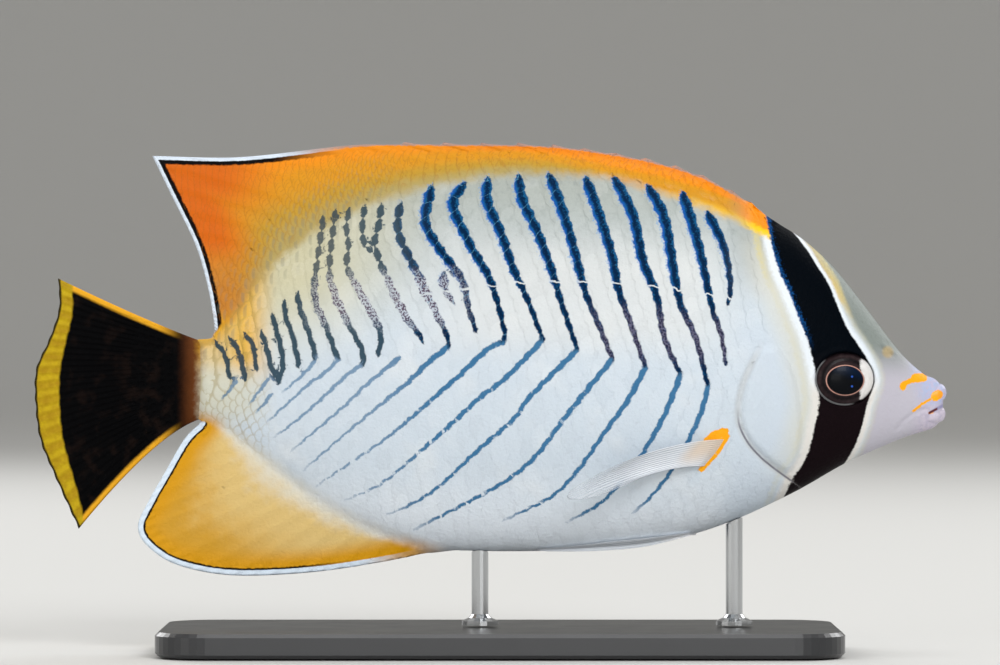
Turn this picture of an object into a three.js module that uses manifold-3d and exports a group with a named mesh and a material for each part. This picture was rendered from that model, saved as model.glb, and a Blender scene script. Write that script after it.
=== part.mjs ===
// A chevron butterflyfish, swimming level, as a life-size model on a small display stand. Millimetres.
// +X runs from tail to snout, +Y to the fish's left side and +Z up. The origin is the centre of the stand's underside.
// Outlines are given in the side plane as [x, z], and half widths as [x, half width].
import * as THREE from "three";
import { mergeVertices } from "three/addons/utils/BufferGeometryUtils.js";
import Module from "manifold-3d";

const wasm = await Module();
wasm.setup();

// Driving dimensions. The fish is 150 mm from snout to tail edge.
const GAP = 0.3; // clearance between two pieces that touch
const SNOUT_X = 71.9; // front of the flesh, behind the lips
const NOSE_ROUND = 2.6; // length over which the snout rounds off
const STALK_END_X = -50.6; // rear of the flesh, inside the tail fin's root
const STALK_ROUND = 2.4;

// The flesh without its fins: outline of the back and the belly, and half width, from tail to snout.
const BACK = [
  [-50, 51.3], [-46.8, 52], [-43.7, 56.2], [-39.6, 62], [-33, 68.2], [-24.7, 73], [-16.5, 76], [-8, 78],
  [0, 79.1], [8, 79.4], [16.5, 79], [25, 77.7], [33, 75.7], [39.6, 73.3], [45.3, 70.7], [50, 67.8],
  [55, 63.2], [60, 57], [66, 49.2], [70, 45.2], [72, 43.4],
];
const BELLY = [
  [-50, 38.2], [-47, 37.8], [-42.9, 34.9], [-38, 30.8], [-31.3, 25.6], [-24.7, 21.6], [-18, 18.7], [-11.5, 17],
  [-3.3, 16.5], [7.5, 16.5], [16.5, 16.9], [25, 17.8], [33, 19.6], [39.6, 22], [46.3, 25.1], [50, 27],
  [57, 31], [63, 33.7], [66.6, 35.2], [69.4, 36.3], [72, 38],
];
const HALF_WIDTH = [
  [-50, 2.4], [-46.8, 2.9], [-38, 4.1], [-28, 5.5], [-16.5, 7.1], [-3.3, 8.7], [10, 9.9], [23, 10.6],
  [33, 10.6], [43, 9.9], [49.5, 8.8], [56.2, 7.3], [59.3, 6.3], [64.3, 4.6], [68.4, 3.1], [71, 2.2],
];
const FULLNESS = 2.3; // power of the section's height: higher is flatter on the flanks
const KEEL_ABOVE = 0.64; // the back narrows to a keel, and the belly is rounder
const KEEL_BELOW = 0.52;

// A smooth curve through rows of [x, value], as a function of x.
function curve(rows) {
  const slope = rows.map((row, i) => {
    const before = rows[Math.max(i - 1, 0)];
    const after = rows[Math.min(i + 1, rows.length - 1)];
    return (after[1] - before[1]) / (after[0] - before[0]);
  });
  return (x) => {
    let i = 0;
    while (i < rows.length - 2 && x > rows[i + 1][0]) i += 1;
    const step = rows[i + 1][0] - rows[i][0];
    const t = THREE.MathUtils.clamp((x - rows[i][0]) / step, 0, 1);
    const rise = t * t * (3 - 2 * t);
    return (
      rows[i][1] * (1 - rise) + rows[i + 1][1] * rise +
      step * t * (1 - t) * ((1 - t) * slope[i] - t * slope[i + 1])
    );
  };
}

const back = curve(BACK);
const belly = curve(BELLY);
const halfWidth = curve(HALF_WIDTH);
const lerp = THREE.MathUtils.lerp;

// Half height, middle height and half width of the flesh at x, with both ends rounded off, grown by a margin.
function section(x, grow = 0) {
  const ahead = THREE.MathUtils.clamp((x - grow - SNOUT_X + NOSE_ROUND) / NOSE_ROUND, 0, 1);
  const behind = THREE.MathUtils.clamp((STALK_END_X + STALK_ROUND - x - grow) / STALK_ROUND, 0, 1);
  const round = Math.sqrt(1 - ahead * ahead) * Math.sqrt(1 - behind * behind);
  return {
    middle: (back(x) + belly(x)) / 2,
    height: ((back(x) - belly(x)) / 2) * round + grow,
    width: halfWidth(x) * round + grow,
  };
}

// Half width of a section at a share of its height, from -1 at the belly to 1 at the back.
function flank(share, width) {
  return width * Math.pow(1 - Math.pow(Math.abs(share), FULLNESS), share > 0 ? KEEL_ABOVE : KEEL_BELOW);
}

// Half width of the flesh at a point of the side plane, and 0 outside its outline.
function fleshAt(x, z) {
  const s = section(x);
  const share = (z - s.middle) / s.height;
  return Math.abs(share) < 1 ? flank(share, s.width) : 0;
}

// Vertices and triangles become a solid that can be cut and joined.
function solidFrom(positions, triangles) {
  return new wasm.Manifold(
    new wasm.Mesh({
      numProp: 3,
      vertProperties: new Float32Array(positions),
      triVerts: new Uint32Array(triangles),
    }),
  );
}

function solidOf(geometry) {
  const bare = geometry.clone();
  bare.deleteAttribute("normal");
  bare.deleteAttribute("uv");
  const merged = mergeVertices(bare, 1e-4);
  return solidFrom(merged.attributes.position.array, merged.index.array);
}

function join(solids) {
  return solids.reduce((all, one) => all.add(one));
}

// The largest closed surface of a solid, so that cuts leave no scraps.
function largest(solid) {
  return solid.decompose().reduce((best, piece) => (piece.volume() > best.volume() ? piece : best));
}

// A closed tube through rings of equally many points, with a point at each end.
function tube(rings, start, end) {
  const count = rings[0].length;
  const positions = [...rings.flat(2), ...start, ...end];
  const first = rings.length * count;
  const triangles = [];
  for (let j = 0; j < count; j++) {
    const next = (j + 1) % count;
    for (let i = 0; i < rings.length - 1; i++) {
      const a = i * count + j;
      const b = i * count + next;
      triangles.push(a, a + count, b + count, a, b + count, b);
    }
    const last = (rings.length - 1) * count;
    triangles.push(first, j, next, first + 1, last + next, last + j);
  }
  const made = solidFrom(positions, triangles);
  return made.volume() > 0 ? made : solidFrom(positions, triangles.reverse());
}

// The flesh as one solid, grown by a margin or shrunk by a negative one.
const STATIONS = 40;
const AROUND = 36;
const END_CROWDING = 0.82; // how much closer the stations stand towards both ends
function flesh(grow = 0) {
  const from = STALK_END_X - grow;
  const to = SNOUT_X + grow;
  const rings = [];
  for (let i = 1; i < STATIONS; i++) {
    const u = i / STATIONS;
    const x = lerp(from, to, u - (END_CROWDING * Math.sin(2 * Math.PI * u)) / (2 * Math.PI));
    const s = section(x, grow);
    const ring = [];
    for (let j = 0; j < AROUND; j++) {
      const angle = (2 * Math.PI * j) / AROUND;
      const share = Math.cos(angle);
      const y = flank(share, s.width) * Math.sign(Math.round(Math.sin(angle) * 1e6));
      ring.push([x, y, s.middle + share * s.height]);
    }
    rings.push(ring);
  }
  return tube(rings, [from, 0, section(STALK_END_X).middle], [to, 0, section(SNOUT_X).middle]);
}

// A prism across the fish from an outline in the side plane, between two values of y.
function prism(outline, low = -30, high = 30) {
  const shape = new THREE.Shape(outline.map(([x, z]) => new THREE.Vector2(x, z)));
  const geometry = new THREE.ExtrudeGeometry(shape, { depth: high - low, bevelEnabled: false });
  return solidOf(geometry.rotateX(Math.PI / 2).translate(0, high, 0));
}

// Points of a smooth line, or loop, through a few points of the side plane.
function smooth(outline, count, closed = false) {
  const line = new THREE.CatmullRomCurve3(
    outline.map(([x, z]) => new THREE.Vector3(x, 0, z)), closed, "centripetal");
  return line.getPoints(count).slice(0, closed ? count : count + 1).map((p) => [p.x, p.z]);
}

// A closed plate from a grid of { at: Vector3, half: half thickness }, split into triangles alike on both faces.
function plate(grid, across = null) {
  const rows = grid.length;
  const columns = grid[0].length;
  const positions = [];
  for (const side of [1, -1]) {
    for (let i = 0; i < rows; i++) {
      for (let j = 0; j < columns; j++) {
        const along = grid[Math.min(i + 1, rows - 1)][j].at.clone().sub(grid[Math.max(i - 1, 0)][j].at);
        const over = grid[i][Math.min(j + 1, columns - 1)].at.clone().sub(grid[i][Math.max(j - 1, 0)].at);
        const normal = across ? across.clone() : along.cross(over).normalize();
        const p = grid[i][j].at.clone().addScaledVector(normal, side * grid[i][j].half);
        positions.push(p.x, p.y, p.z);
      }
    }
  }
  const at = (side, i, j) => (side * rows + i) * columns + j;
  const triangles = [];
  const quad = (a, b, c, d) => triangles.push(a, b, c, a, c, d);
  for (let i = 0; i < rows - 1; i++) {
    for (let j = 0; j < columns - 1; j++) {
      quad(at(0, i, j), at(0, i + 1, j), at(0, i + 1, j + 1), at(0, i, j + 1));
      quad(at(1, i + 1, j + 1), at(1, i + 1, j), at(1, i, j), at(1, i, j + 1));
    }
  }
  for (let i = 0; i < rows - 1; i++) {
    quad(at(0, i, 0), at(1, i, 0), at(1, i + 1, 0), at(0, i + 1, 0));
    quad(at(0, i, columns - 1), at(0, i + 1, columns - 1), at(1, i + 1, columns - 1), at(1, i, columns - 1));
  }
  for (let j = 0; j < columns - 1; j++) {
    quad(at(0, 0, j), at(0, 0, j + 1), at(1, 0, j + 1), at(1, 0, j));
    quad(at(0, rows - 1, j), at(1, rows - 1, j), at(1, rows - 1, j + 1), at(0, rows - 1, j + 1));
  }
  const made = solidFrom(positions, triangles);
  return made.volume() > 0 ? made : solidFrom(positions, triangles.reverse());
}

// Places of a fin's columns: three to each ray, the first on its crest and two in the web behind it.
function rayColumns(rays) {
  const columns = [];
  rays.forEach((t, k) => {
    columns.push({ t, crest: 1 });
    if (k < rays.length - 1) {
      for (const share of [1 / 3, 2 / 3]) columns.push({ t: lerp(t, rays[k + 1], share), crest: 0 });
    }
  });
  return columns;
}

function evenly(count, from = 0, to = 1) {
  return Array.from({ length: count }, (_, k) => lerp(from, to, k / (count - 1)));
}

// A fin as a plate whose rays run from root to tip and stand up as ridges. line(t, s) is the middle surface: t runs
// from the first ray to the last, and s from 0 at the root to 1 at the tip, with below 0 sunk in the flesh.
function rayFin({ rays, steps, line, rootHalf, tipHalf, ridge, spread = 1.5, spur = () => 0, across = null }) {
  const columns = rayColumns(rays);
  const grid = steps.map((s) =>
    columns.map(({ t, crest }) => {
      const reach = s > 0.99 ? s + spur(t, crest) : s;
      const taper = Math.pow(1 - Math.max(s, 0), spread);
      const lift = s < 0 ? 0 : crest * ridge * (1 - 0.5 * s);
      return { at: line(t, reach), half: lerp(tipHalf, rootHalf, taper) + lift };
    }),
  );
  return plate(grid, across);
}

const ACROSS = new THREE.Vector3(0, 1, 0);
const WHOLE = flesh();
const CLEAR = flesh(GAP); // what a fin or a rod is cut back to

// The dorsal fin: 14 low spines and 15 soft rays, which all lean back. The edge has a corner at the rear tip.
const DORSAL_CORNER = 0.6;
const dorsalRoot = curve([
  [0, 45.3], [0.06, 42.5], [0.12, 38], [0.2, 31], [0.3, 20], [0.4, 6], [0.48, -6], [0.55, -16], [0.6, -25],
  [0.66, -31], [0.74, -37], [0.82, -41], [0.9, -44.4], [1, -46.6],
]);
const DORSAL_TOP = [
  [0, 44.6, 71.3], [0.06, 40.2, 74.5], [0.12, 33, 78.4], [0.2, 22.5, 81.3], [0.3, 8, 83.3], [0.4, -8.6, 83.6],
  [0.48, -24, 83.4], [0.55, -43, 81.4], [DORSAL_CORNER, -57.3, 81.6],
];
const DORSAL_REAR = [
  [DORSAL_CORNER, -57.3, 81.6], [0.66, -54.2, 75.2], [0.74, -50.3, 67.2], [0.82, -48.4, 61], [0.9, -47.4, 56],
  [1, -47, 52.6],
];
const DORSAL_SPINES = 14;
const DORSAL_SOFT_RAYS = 15;
const SPINE_SPUR = 1; // how far a spine's point stands past the web, in millimetres
const SINK = 3.2; // how deep a fin's root is sunk in the flesh before it is cut back

// The edge of a fin from one or two tables of [t, x, z].
function edge(...tables) {
  const parts = tables.map((rows) => ({
    end: rows.at(-1)[0],
    x: curve(rows.map(([t, x]) => [t, x])),
    z: curve(rows.map(([t, , z]) => [t, z])),
  }));
  return (t) => {
    const part = parts.find((p) => t <= p.end) ?? parts.at(-1);
    return new THREE.Vector3(part.x(t), 0, part.z(t));
  };
}

// A fin in the middle plane, from its root on the back or belly (up is 1 or -1) to its edge.
function medianLine(rootX, outline, up, tip) {
  return (t, s) => {
    const x = rootX(t);
    const root = new THREE.Vector3(x, 0, outline(x) - up * 0.2);
    if (s < 0) {
      const slope = outline(x + 0.5) - outline(x - 0.5);
      return root.addScaledVector(new THREE.Vector3(up * slope, 0, -up).normalize(), -s * SINK);
    }
    return root.lerp(tip(t), s);
  };
}

function dorsalFin() {
  const tip = edge(DORSAL_TOP, DORSAL_REAR);
  const spines = evenly(DORSAL_SPINES, 0, 0.47);
  const soft = [...evenly(4, 0.5, DORSAL_CORNER), ...evenly(DORSAL_SOFT_RAYS - 3, DORSAL_CORNER, 1).slice(1)];
  const line = medianLine(dorsalRoot, back, 1, tip);
  const spur = (t, crest) => {
    if (t > 0.48 || t < 0.01) return 0;
    const length = line(t, 1).distanceTo(line(t, 0));
    return (crest ? SPINE_SPUR : -0.5 * SPINE_SPUR) / length;
  };
  const fin = rayFin({
    rays: [...spines, ...soft], steps: [-1, 0, 0.25, 0.5, 0.75, 1], line,
    rootHalf: 1.5, tipHalf: 0.3, ridge: 0.22, spur, across: ACROSS,
  });
  return largest(fin.subtract(CLEAR));
}

// The anal fin: 3 spines and 15 soft rays, with a rounded rear lobe.
const analRoot = curve([
  [0, -10.5], [0.15, -17], [0.3, -23], [0.45, -29], [0.6, -34.5], [0.75, -40], [0.88, -44.5], [1, -48.2],
]);
const ANAL_EDGE = [
  [0, -12, 16.2], [0.15, -20.5, 14.5], [0.3, -32, 12.9], [0.42, -44.5, 12.5], [0.52, -53.5, 14.3],
  [0.6, -58.3, 17.5], [0.67, -59.7, 20.6], [0.75, -58, 24.6], [0.85, -55, 29.9], [0.93, -52, 35], [1, -49.4, 37.6],
];
const ANAL_RAYS = 18;

function analFin() {
  const fin = rayFin({
    rays: evenly(ANAL_RAYS), steps: [-1, 0, 0.25, 0.5, 0.75, 1],
    line: medianLine(analRoot, belly, -1, edge(ANAL_EDGE)),
    rootHalf: 1.5, tipHalf: 0.3, ridge: 0.2, across: ACROSS,
  });
  return largest(fin.subtract(CLEAR));
}

// The tail fin: rays that fan out from the end of the stalk to a shallow curved edge.
const TAIL_ROOT_TOP = [-49.6, 51.2];
const TAIL_ROOT_BOTTOM = [-49.2, 38.3];
const TAIL_BEND_TOP = [-59, 54.7]; // each ray leaves the stalk towards its bend, and then spreads
const TAIL_BEND_BOTTOM = [-56.5, 36];
const TAIL_EDGE = [
  [0, -72.8, 61.4], [0.12, -72.7, 56.4], [0.25, -74.3, 51.4], [0.38, -76.4, 46.6], [0.5, -76.6, 41.6],
  [0.65, -75.8, 35], [0.8, -73.4, 29], [0.92, -70.9, 23.4], [1, -69.4, 20.2],
];
const TAIL_RAYS = 17;
const TAIL_SINK = 2.5;

function tailFin() {
  const tip = edge(TAIL_EDGE);
  const between = (top, bottom, t) => new THREE.Vector3(lerp(top[0], bottom[0], t), 0, lerp(top[1], bottom[1], t));
  const line = (t, s) => {
    const root = between(TAIL_ROOT_TOP, TAIL_ROOT_BOTTOM, t);
    if (s < 0) return root.add(new THREE.Vector3(-s * TAIL_SINK, 0, lerp(0.8, -0.8, t) * s));
    return new THREE.QuadraticBezierCurve3(root, between(TAIL_BEND_TOP, TAIL_BEND_BOTTOM, t), tip(t)).getPoint(s);
  };
  const fin = rayFin({
    rays: evenly(TAIL_RAYS), steps: [-1, 0, 0.15, 0.36, 0.6, 0.8, 1], line,
    rootHalf: 2.2, tipHalf: 0.3, ridge: 0.2, spread: 2.2, across: ACROSS,
  });
  return largest(fin.subtract(CLEAR));
}

// A pectoral fin, folded back along the flank on its own side (side is 1 for left, -1 for right).
const PECTORAL_ROOT_TOP = [37.2, 36.6];
const PECTORAL_ROOT_BOTTOM = [33.8, 30.6];
const PECTORAL_EDGE = [[0, 15.2, 29.4], [0.3, 10.9, 27.5], [0.6, 11.8, 26], [0.8, 15.3, 25.4], [1, 20.5, 27]];
const PECTORAL_ARCH = [0.9, -0.7]; // how far the first and last ray bow upwards
const PECTORAL_RAYS = 14;
const PECTORAL_STAND_OFF = [6.5, 4]; // how far the tips of the first and last ray stand out from the flank

function pectoralFin(side) {
  const tip = edge(PECTORAL_EDGE);
  const line = (t, s) => {
    const x = lerp(PECTORAL_ROOT_TOP[0], PECTORAL_ROOT_BOTTOM[0], t);
    const z = lerp(PECTORAL_ROOT_TOP[1], PECTORAL_ROOT_BOTTOM[1], t);
    const p = new THREE.Vector3(x, 0, z).lerp(tip(t), s);
    p.z += 4 * s * (1 - s) * lerp(PECTORAL_ARCH[0], PECTORAL_ARCH[1], t);
    const out = s < 0 ? s * 16 : 0.3 + Math.pow(s, 0.8) * lerp(PECTORAL_STAND_OFF[0], PECTORAL_STAND_OFF[1], t);
    p.y = side * (fleshAt(x, z) + out);
    return p;
  };
  const fin = rayFin({
    rays: evenly(PECTORAL_RAYS), steps: [-0.1, 0.04, 0.35, 0.68, 1], line,
    rootHalf: 0.75, tipHalf: 0.25, ridge: 0.14, spread: 3,
  });
  return largest(fin.subtract(CLEAR));
}

// A pelvic fin: a spine and 5 rays laid back against the belly, its lower edge just under the belly's line.
const pelvicLow = curve([[0, 18.4], [0.25, 17], [0.5, 16.2], [0.75, 15.9], [1, 16.1]]);
const pelvicHigh = curve([[0, 21], [0.25, 20.4], [0.5, 19.2], [0.75, 17.9], [1, 16.8]]);
const PELVIC_ROOT_X = 31;
const PELVIC_TIP_X = 6.3;
const PELVIC_RAYS = 6;
const PELVIC_KEEL = 2.9; // least distance of the blade from the middle plane
const PELVIC_HALF = 0.27;

function pelvicFin(side) {
  const line = (t, s) => {
    const along = Math.max(s, 0);
    const x = lerp(PELVIC_ROOT_X, PELVIC_TIP_X, along) - 2.5 * t * along * (1 - along);
    const z = lerp(pelvicLow(along), pelvicHigh(along), t);
    const skinY = Math.max(fleshAt(x, z), PELVIC_KEEL - 1);
    const out = s < 0 ? -1.5 : Math.min(1, s * 6) * (GAP + PELVIC_HALF + 0.45);
    return new THREE.Vector3(x - Math.min(s, 0) * 4, side * (skinY + out), z);
  };
  const fin = rayFin({
    rays: evenly(PELVIC_RAYS), steps: [-0.2, 0, 0.17, 0.4, 0.7, 1], line,
    rootHalf: 0.5, tipHalf: PELVIC_HALF, ridge: 0.1, spread: 4,
  });
  return largest(fin.subtract(CLEAR));
}

// The eyes: flattened balls that stand a little out of the head, each in a socket with a low raised rim.
const EYE = { x: 56.8, z: 44.5, y: 5.4, radius: 4.9, depth: 3.1 };
const RIM_RADIUS = 4.45;
const RIM_THICK = 0.5;
const RIM_Y = 6.95;

function eyeball(side, grow = 0) {
  const ball = new THREE.SphereGeometry(1, 20, 10).rotateX(Math.PI / 2);
  ball.scale(EYE.radius + grow, EYE.depth + grow, EYE.radius + grow);
  return solidOf(ball.translate(EYE.x, side * EYE.y, EYE.z));
}

function eyeRim(side) {
  const ring = new THREE.TorusGeometry(RIM_RADIUS, RIM_THICK, 5, 22).rotateX(Math.PI / 2);
  return solidOf(ring.rotateZ(-side * 0.24).translate(EYE.x, side * RIM_Y, EYE.z));
}

// Two nostrils in front of each eye, as small pits.
const NOSTRILS = [[62.9, 49.9], [64.5, 48.8]];
const NOSTRIL_RADIUS = 0.5;

function nostrils() {
  const pits = [];
  for (const side of [1, -1]) {
    for (const [x, z] of NOSTRILS) {
      const pit = new THREE.SphereGeometry(NOSTRIL_RADIUS, 7, 5);
      pits.push(solidOf(pit.translate(x, side * (fleshAt(x, z) + 0.1), z)));
    }
  }
  return pits;
}

// A lip: a roll round the front of the snout, from one corner of the mouth to the other, thickest in front.
const MOUTH_CORNER = { x: 69.6, y: 2.1 };
const UPPER_LIP = { x: 72.5, z: 42.75, cornerZ: 40.3, deep: 1.1, tall: 1.6 };
const LOWER_LIP = { x: 72.2, z: 38.45, cornerZ: 38.7, deep: 1.15, tall: 1.35 };
const CORNER_SHARE = 0.4; // thickness of a lip at its corner, as a share of the front's

function lip({ x, z, cornerZ, deep, tall }) {
  const rings = [];
  const steps = 12;
  const around = 10;
  const place = (turn) => {
    const front = Math.cos(turn);
    return new THREE.Vector3(
      lerp(MOUTH_CORNER.x, x, Math.pow(front, 0.7)), MOUTH_CORNER.y * Math.sin(turn), lerp(cornerZ, z, front));
  };
  for (let i = 0; i <= steps; i++) {
    const turn = lerp(-Math.PI / 2, Math.PI / 2, i / steps) * 0.999;
    const front = Math.cos(turn);
    const size = lerp(CORNER_SHARE, 1, Math.sqrt(front));
    const out = new THREE.Vector3(front, Math.sin(turn), 0);
    const centre = place(turn);
    const ring = [];
    for (let j = 0; j < around; j++) {
      const angle = (2 * Math.PI * j) / around;
      const p = centre.clone().addScaledVector(out, Math.cos(angle) * deep * size);
      ring.push([p.x, p.y, p.z + Math.sin(angle) * tall * size]);
    }
    rings.push(ring);
  }
  const ends = [-1, 1].map((side) => [MOUTH_CORNER.x - 0.3, side * MOUTH_CORNER.y, cornerZ]);
  return tube(rings, ends[0], ends[1]);
}

// The gap between the lips: a wedge that opens forwards from the corners of the mouth.
const MOUTH_WEDGE = [[69.3, 39.65], [69.3, 39.25], [76, 39.85], [76, 40.95]];

// The gill cover: a thin plate let into the cheek, whose rear edge is where the head ends.
const GILL_COVER = [
  [45.3, 50.2], [42.6, 50.2], [40.9, 47], [39.7, 43.6], [39.1, 40.2], [39.3, 37.6], [40.7, 34.8], [42.9, 32.4],
  [45.3, 30.4], [47.4, 29.4], [48.8, 31.4], [49.5, 35], [49.2, 41], [47.6, 47.2],
];
const COVER_PROUD = 0.45;
const COVER_THICK = 1.2;
const HEAD_LINE = [ // where the head meets the trunk, from the nape down to the throat
  [46.2, 76], [45, 70.4], [43.8, 62], [42.9, 54], [42.2, 50.3], [40.6, 47], [39.4, 43.6], [38.8, 40.2], [39, 37.5],
  [40.4, 34.6], [42.6, 32.1], [45.2, 30], [47.3, 28.2], [47.2, 20],
];
const STALK_LINE_X = -37.5; // where the trunk meets the tail stalk

function headAndTrunk() {
  const line = smooth(HEAD_LINE, 28);
  const shifted = line.map(([x, z]) => [x - GAP * 1.15, z]);
  const front = prism([...line, [90, 20], [90, 76]]);
  const rear = prism([...shifted, [STALK_LINE_X + GAP / 2, 0], [STALK_LINE_X + GAP / 2, 90], [45, 90]]);
  const stalk = prism([[-70, 0], [STALK_LINE_X - GAP / 2, 0], [STALK_LINE_X - GAP / 2, 90], [-70, 90]]);
  return [front, rear, stalk].map((region) => WHOLE.intersect(region));
}

function gillCovers() {
  const outline = smooth(GILL_COVER, 26, true);
  const centre = [44.5, 40];
  const wider = outline.map(([x, z]) => {
    const reach = Math.hypot(x - centre[0], z - centre[1]);
    const k = (reach + GAP * 1.2) / reach;
    return [centre[0] + (x - centre[0]) * k, centre[1] + (z - centre[1]) * k];
  });
  const plates = prism(outline).intersect(flesh(COVER_PROUD)).subtract(flesh(COVER_PROUD - COVER_THICK));
  const pocket = prism(wider).subtract(flesh(COVER_PROUD - COVER_THICK - GAP));
  const [one, other] = plates.decompose().sort((a, b) => a.boundingBox().min[1] - b.boundingBox().min[1]);
  return { right: one, left: other, pocket };
}

// The stand: a flat base and two rods whose tops are shaped to the belly.
const BASE = { length: 112, width: 46, thick: 4, corner: 8, bevel: 0.6 };
const ROD_RADIUS = 1.4;
const ROD_FOOT_RADIUS = 3;
const ROD_FOOT_HEIGHT = 1.2;
const ROD_X = { rear: -3.3, front: 38.6 };

function standBase() {
  const { length, width, thick, corner, bevel } = BASE;
  const x = length / 2 - bevel;
  const y = width / 2 - bevel;
  const shape = new THREE.Shape();
  shape.absarc(x - corner, y - corner, corner, 0, Math.PI / 2);
  shape.absarc(corner - x, y - corner, corner, Math.PI / 2, Math.PI);
  shape.absarc(corner - x, corner - y, corner, Math.PI, 1.5 * Math.PI);
  shape.absarc(x - corner, corner - y, corner, 1.5 * Math.PI, 2 * Math.PI);
  const slab = new THREE.ExtrudeGeometry(shape, {
    depth: thick - 2 * bevel, bevelThickness: bevel, bevelSize: bevel, bevelSegments: 1, curveSegments: 5,
  });
  return solidOf(slab.translate(0, 0, bevel));
}

function standRod(x) {
  const foot = BASE.thick + GAP;
  const top = belly(x) + 4;
  const profile = [
    [0, foot], [ROD_FOOT_RADIUS, foot], [ROD_FOOT_RADIUS, foot + ROD_FOOT_HEIGHT * 0.6],
    [ROD_RADIUS + 0.5, foot + ROD_FOOT_HEIGHT], [ROD_RADIUS, foot + ROD_FOOT_HEIGHT + 0.6], [ROD_RADIUS, top], [0, top],
  ].map(([r, z]) => new THREE.Vector2(r, z));
  const rod = new THREE.LatheGeometry(profile, 16).rotateX(Math.PI / 2);
  return largest(solidOf(rod.translate(x, 0, 0)).subtract(CLEAR));
}

const FINISH = {
  skin: { color: 0xe6e4dc, roughness: 0.45, metalness: 0 },
  lip: { color: 0xd9cfe0, roughness: 0.4, metalness: 0 },
  orange: { color: 0xf28c0c, roughness: 0.5, metalness: 0 },
  yellow: { color: 0xf3c24a, roughness: 0.5, metalness: 0 },
  black: { color: 0x0b0a0c, roughness: 0.45, metalness: 0 },
  web: { color: 0xe9edf2, roughness: 0.4, metalness: 0 },
  eye: { color: 0x1a1216, roughness: 0.1, metalness: 0 },
  base: { color: 0x2a2320, roughness: 0.35, metalness: 0 },
  steel: { color: 0xb9bcc0, roughness: 0.25, metalness: 1 },
};

const fish = new THREE.Group();

function addNode(name, solid, finish) {
  const { numProp, vertProperties, triVerts, numVert } = solid.getMesh();
  const positions = new Float32Array(numVert * 3);
  for (let i = 0; i < numVert; i++) {
    positions.set(vertProperties.subarray(i * numProp, i * numProp + 3), i * 3);
  }
  const geometry = new THREE.BufferGeometry();
  geometry.setAttribute("position", new THREE.BufferAttribute(positions, 3));
  geometry.setIndex(new THREE.BufferAttribute(triVerts, 1));
  const mesh = new THREE.Mesh(geometry, new THREE.MeshStandardMaterial({ ...FINISH[finish], flatShading: true }));
  mesh.name = name;
  fish.add(mesh);
}

const [front, trunk, stalk] = headAndTrunk();
const covers = gillCovers();
const sockets = [eyeball(1, GAP), eyeball(-1, GAP)];
const wedge = prism(MOUTH_WEDGE);
const head = join([front, eyeRim(1), eyeRim(-1)]).subtract(join([...sockets, ...nostrils(), wedge, covers.pocket]));

addNode("head", largest(head), "skin");
addNode("upper_lip", largest(lip(UPPER_LIP).subtract(CLEAR).subtract(wedge)), "lip");
addNode("lower_lip", largest(lip(LOWER_LIP).subtract(CLEAR).subtract(wedge)), "lip");
addNode("trunk", largest(trunk), "skin");
addNode("tail_stalk", largest(stalk), "skin");
addNode("dorsal_fin", dorsalFin(), "orange");
addNode("anal_fin", analFin(), "yellow");
addNode("tail_fin", tailFin(), "black");
for (const [name, side] of [["left", 1], ["right", -1]]) {
  addNode("eye_" + name, eyeball(side), "eye");
  addNode("gill_cover_" + name, largest(covers[name]), "skin");
  addNode("pectoral_fin_" + name, pectoralFin(side), "web");
  addNode("pelvic_fin_" + name, pelvicFin(side), "web");
}
addNode("stand_base", standBase(), "base");
addNode("stand_rod_front", standRod(ROD_X.front), "steel");
addNode("stand_rod_rear", standRod(ROD_X.rear), "steel");

export default fish;
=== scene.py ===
# %% [markdown]
# A chevron butterflyfish as a museum would show it: one whole fish, life size, held level by two rods on a
# small black base. This lesson dresses the bare construction with skin, scales, fins, eyes and markings.
# It works in the construction's own frame: x runs from tail to snout, y to the fish's left and z up.

# %% Load the construction
import math

import bmesh
import bpy
import numpy as np
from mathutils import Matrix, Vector
from mathutils.bvhtree import BVHTree


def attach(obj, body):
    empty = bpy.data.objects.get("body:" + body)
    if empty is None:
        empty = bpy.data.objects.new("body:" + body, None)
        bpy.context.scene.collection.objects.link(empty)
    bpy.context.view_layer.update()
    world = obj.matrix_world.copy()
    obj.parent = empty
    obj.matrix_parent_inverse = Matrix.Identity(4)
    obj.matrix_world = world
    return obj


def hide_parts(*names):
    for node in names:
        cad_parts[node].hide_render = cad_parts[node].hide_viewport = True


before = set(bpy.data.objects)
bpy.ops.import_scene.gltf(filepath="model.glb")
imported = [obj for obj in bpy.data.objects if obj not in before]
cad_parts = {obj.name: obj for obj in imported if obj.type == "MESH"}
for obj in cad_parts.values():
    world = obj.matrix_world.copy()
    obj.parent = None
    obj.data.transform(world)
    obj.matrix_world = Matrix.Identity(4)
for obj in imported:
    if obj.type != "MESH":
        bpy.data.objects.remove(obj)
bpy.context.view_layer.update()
MM = 0.001
print("construction nodes:", len(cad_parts))

# %% [markdown]
# A fish's outline is a set of slow curves, so each one is stored as a few points read along it and joined by
# a cubic that keeps the slope from one stretch to the next. A spline object in Blender could do this too, but
# a plain function of x can be evaluated for a hundred thousand points at once.

# %% Smooth curves through a few points
def curve(rows):
    """A smooth function through rows of (key, value), with the keys rising."""
    keys, values = np.array(rows, float).T
    index = np.arange(len(keys))
    before = np.maximum(index - 1, 0)
    after = np.minimum(index + 1, len(keys) - 1)
    slope = (values[after] - values[before]) / (keys[after] - keys[before])

    def at(key):
        i = np.clip(np.searchsorted(keys, key) - 1, 0, len(keys) - 2)
        step = keys[i + 1] - keys[i]
        t = np.clip((key - keys[i]) / step, 0, 1)
        rise = t * t * (3 - 2 * t)
        lean = step * t * (1 - t) * ((1 - t) * slope[i] - t * slope[i + 1])
        return values[i] * (1 - rise) + values[i + 1] * rise + lean

    return at


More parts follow.
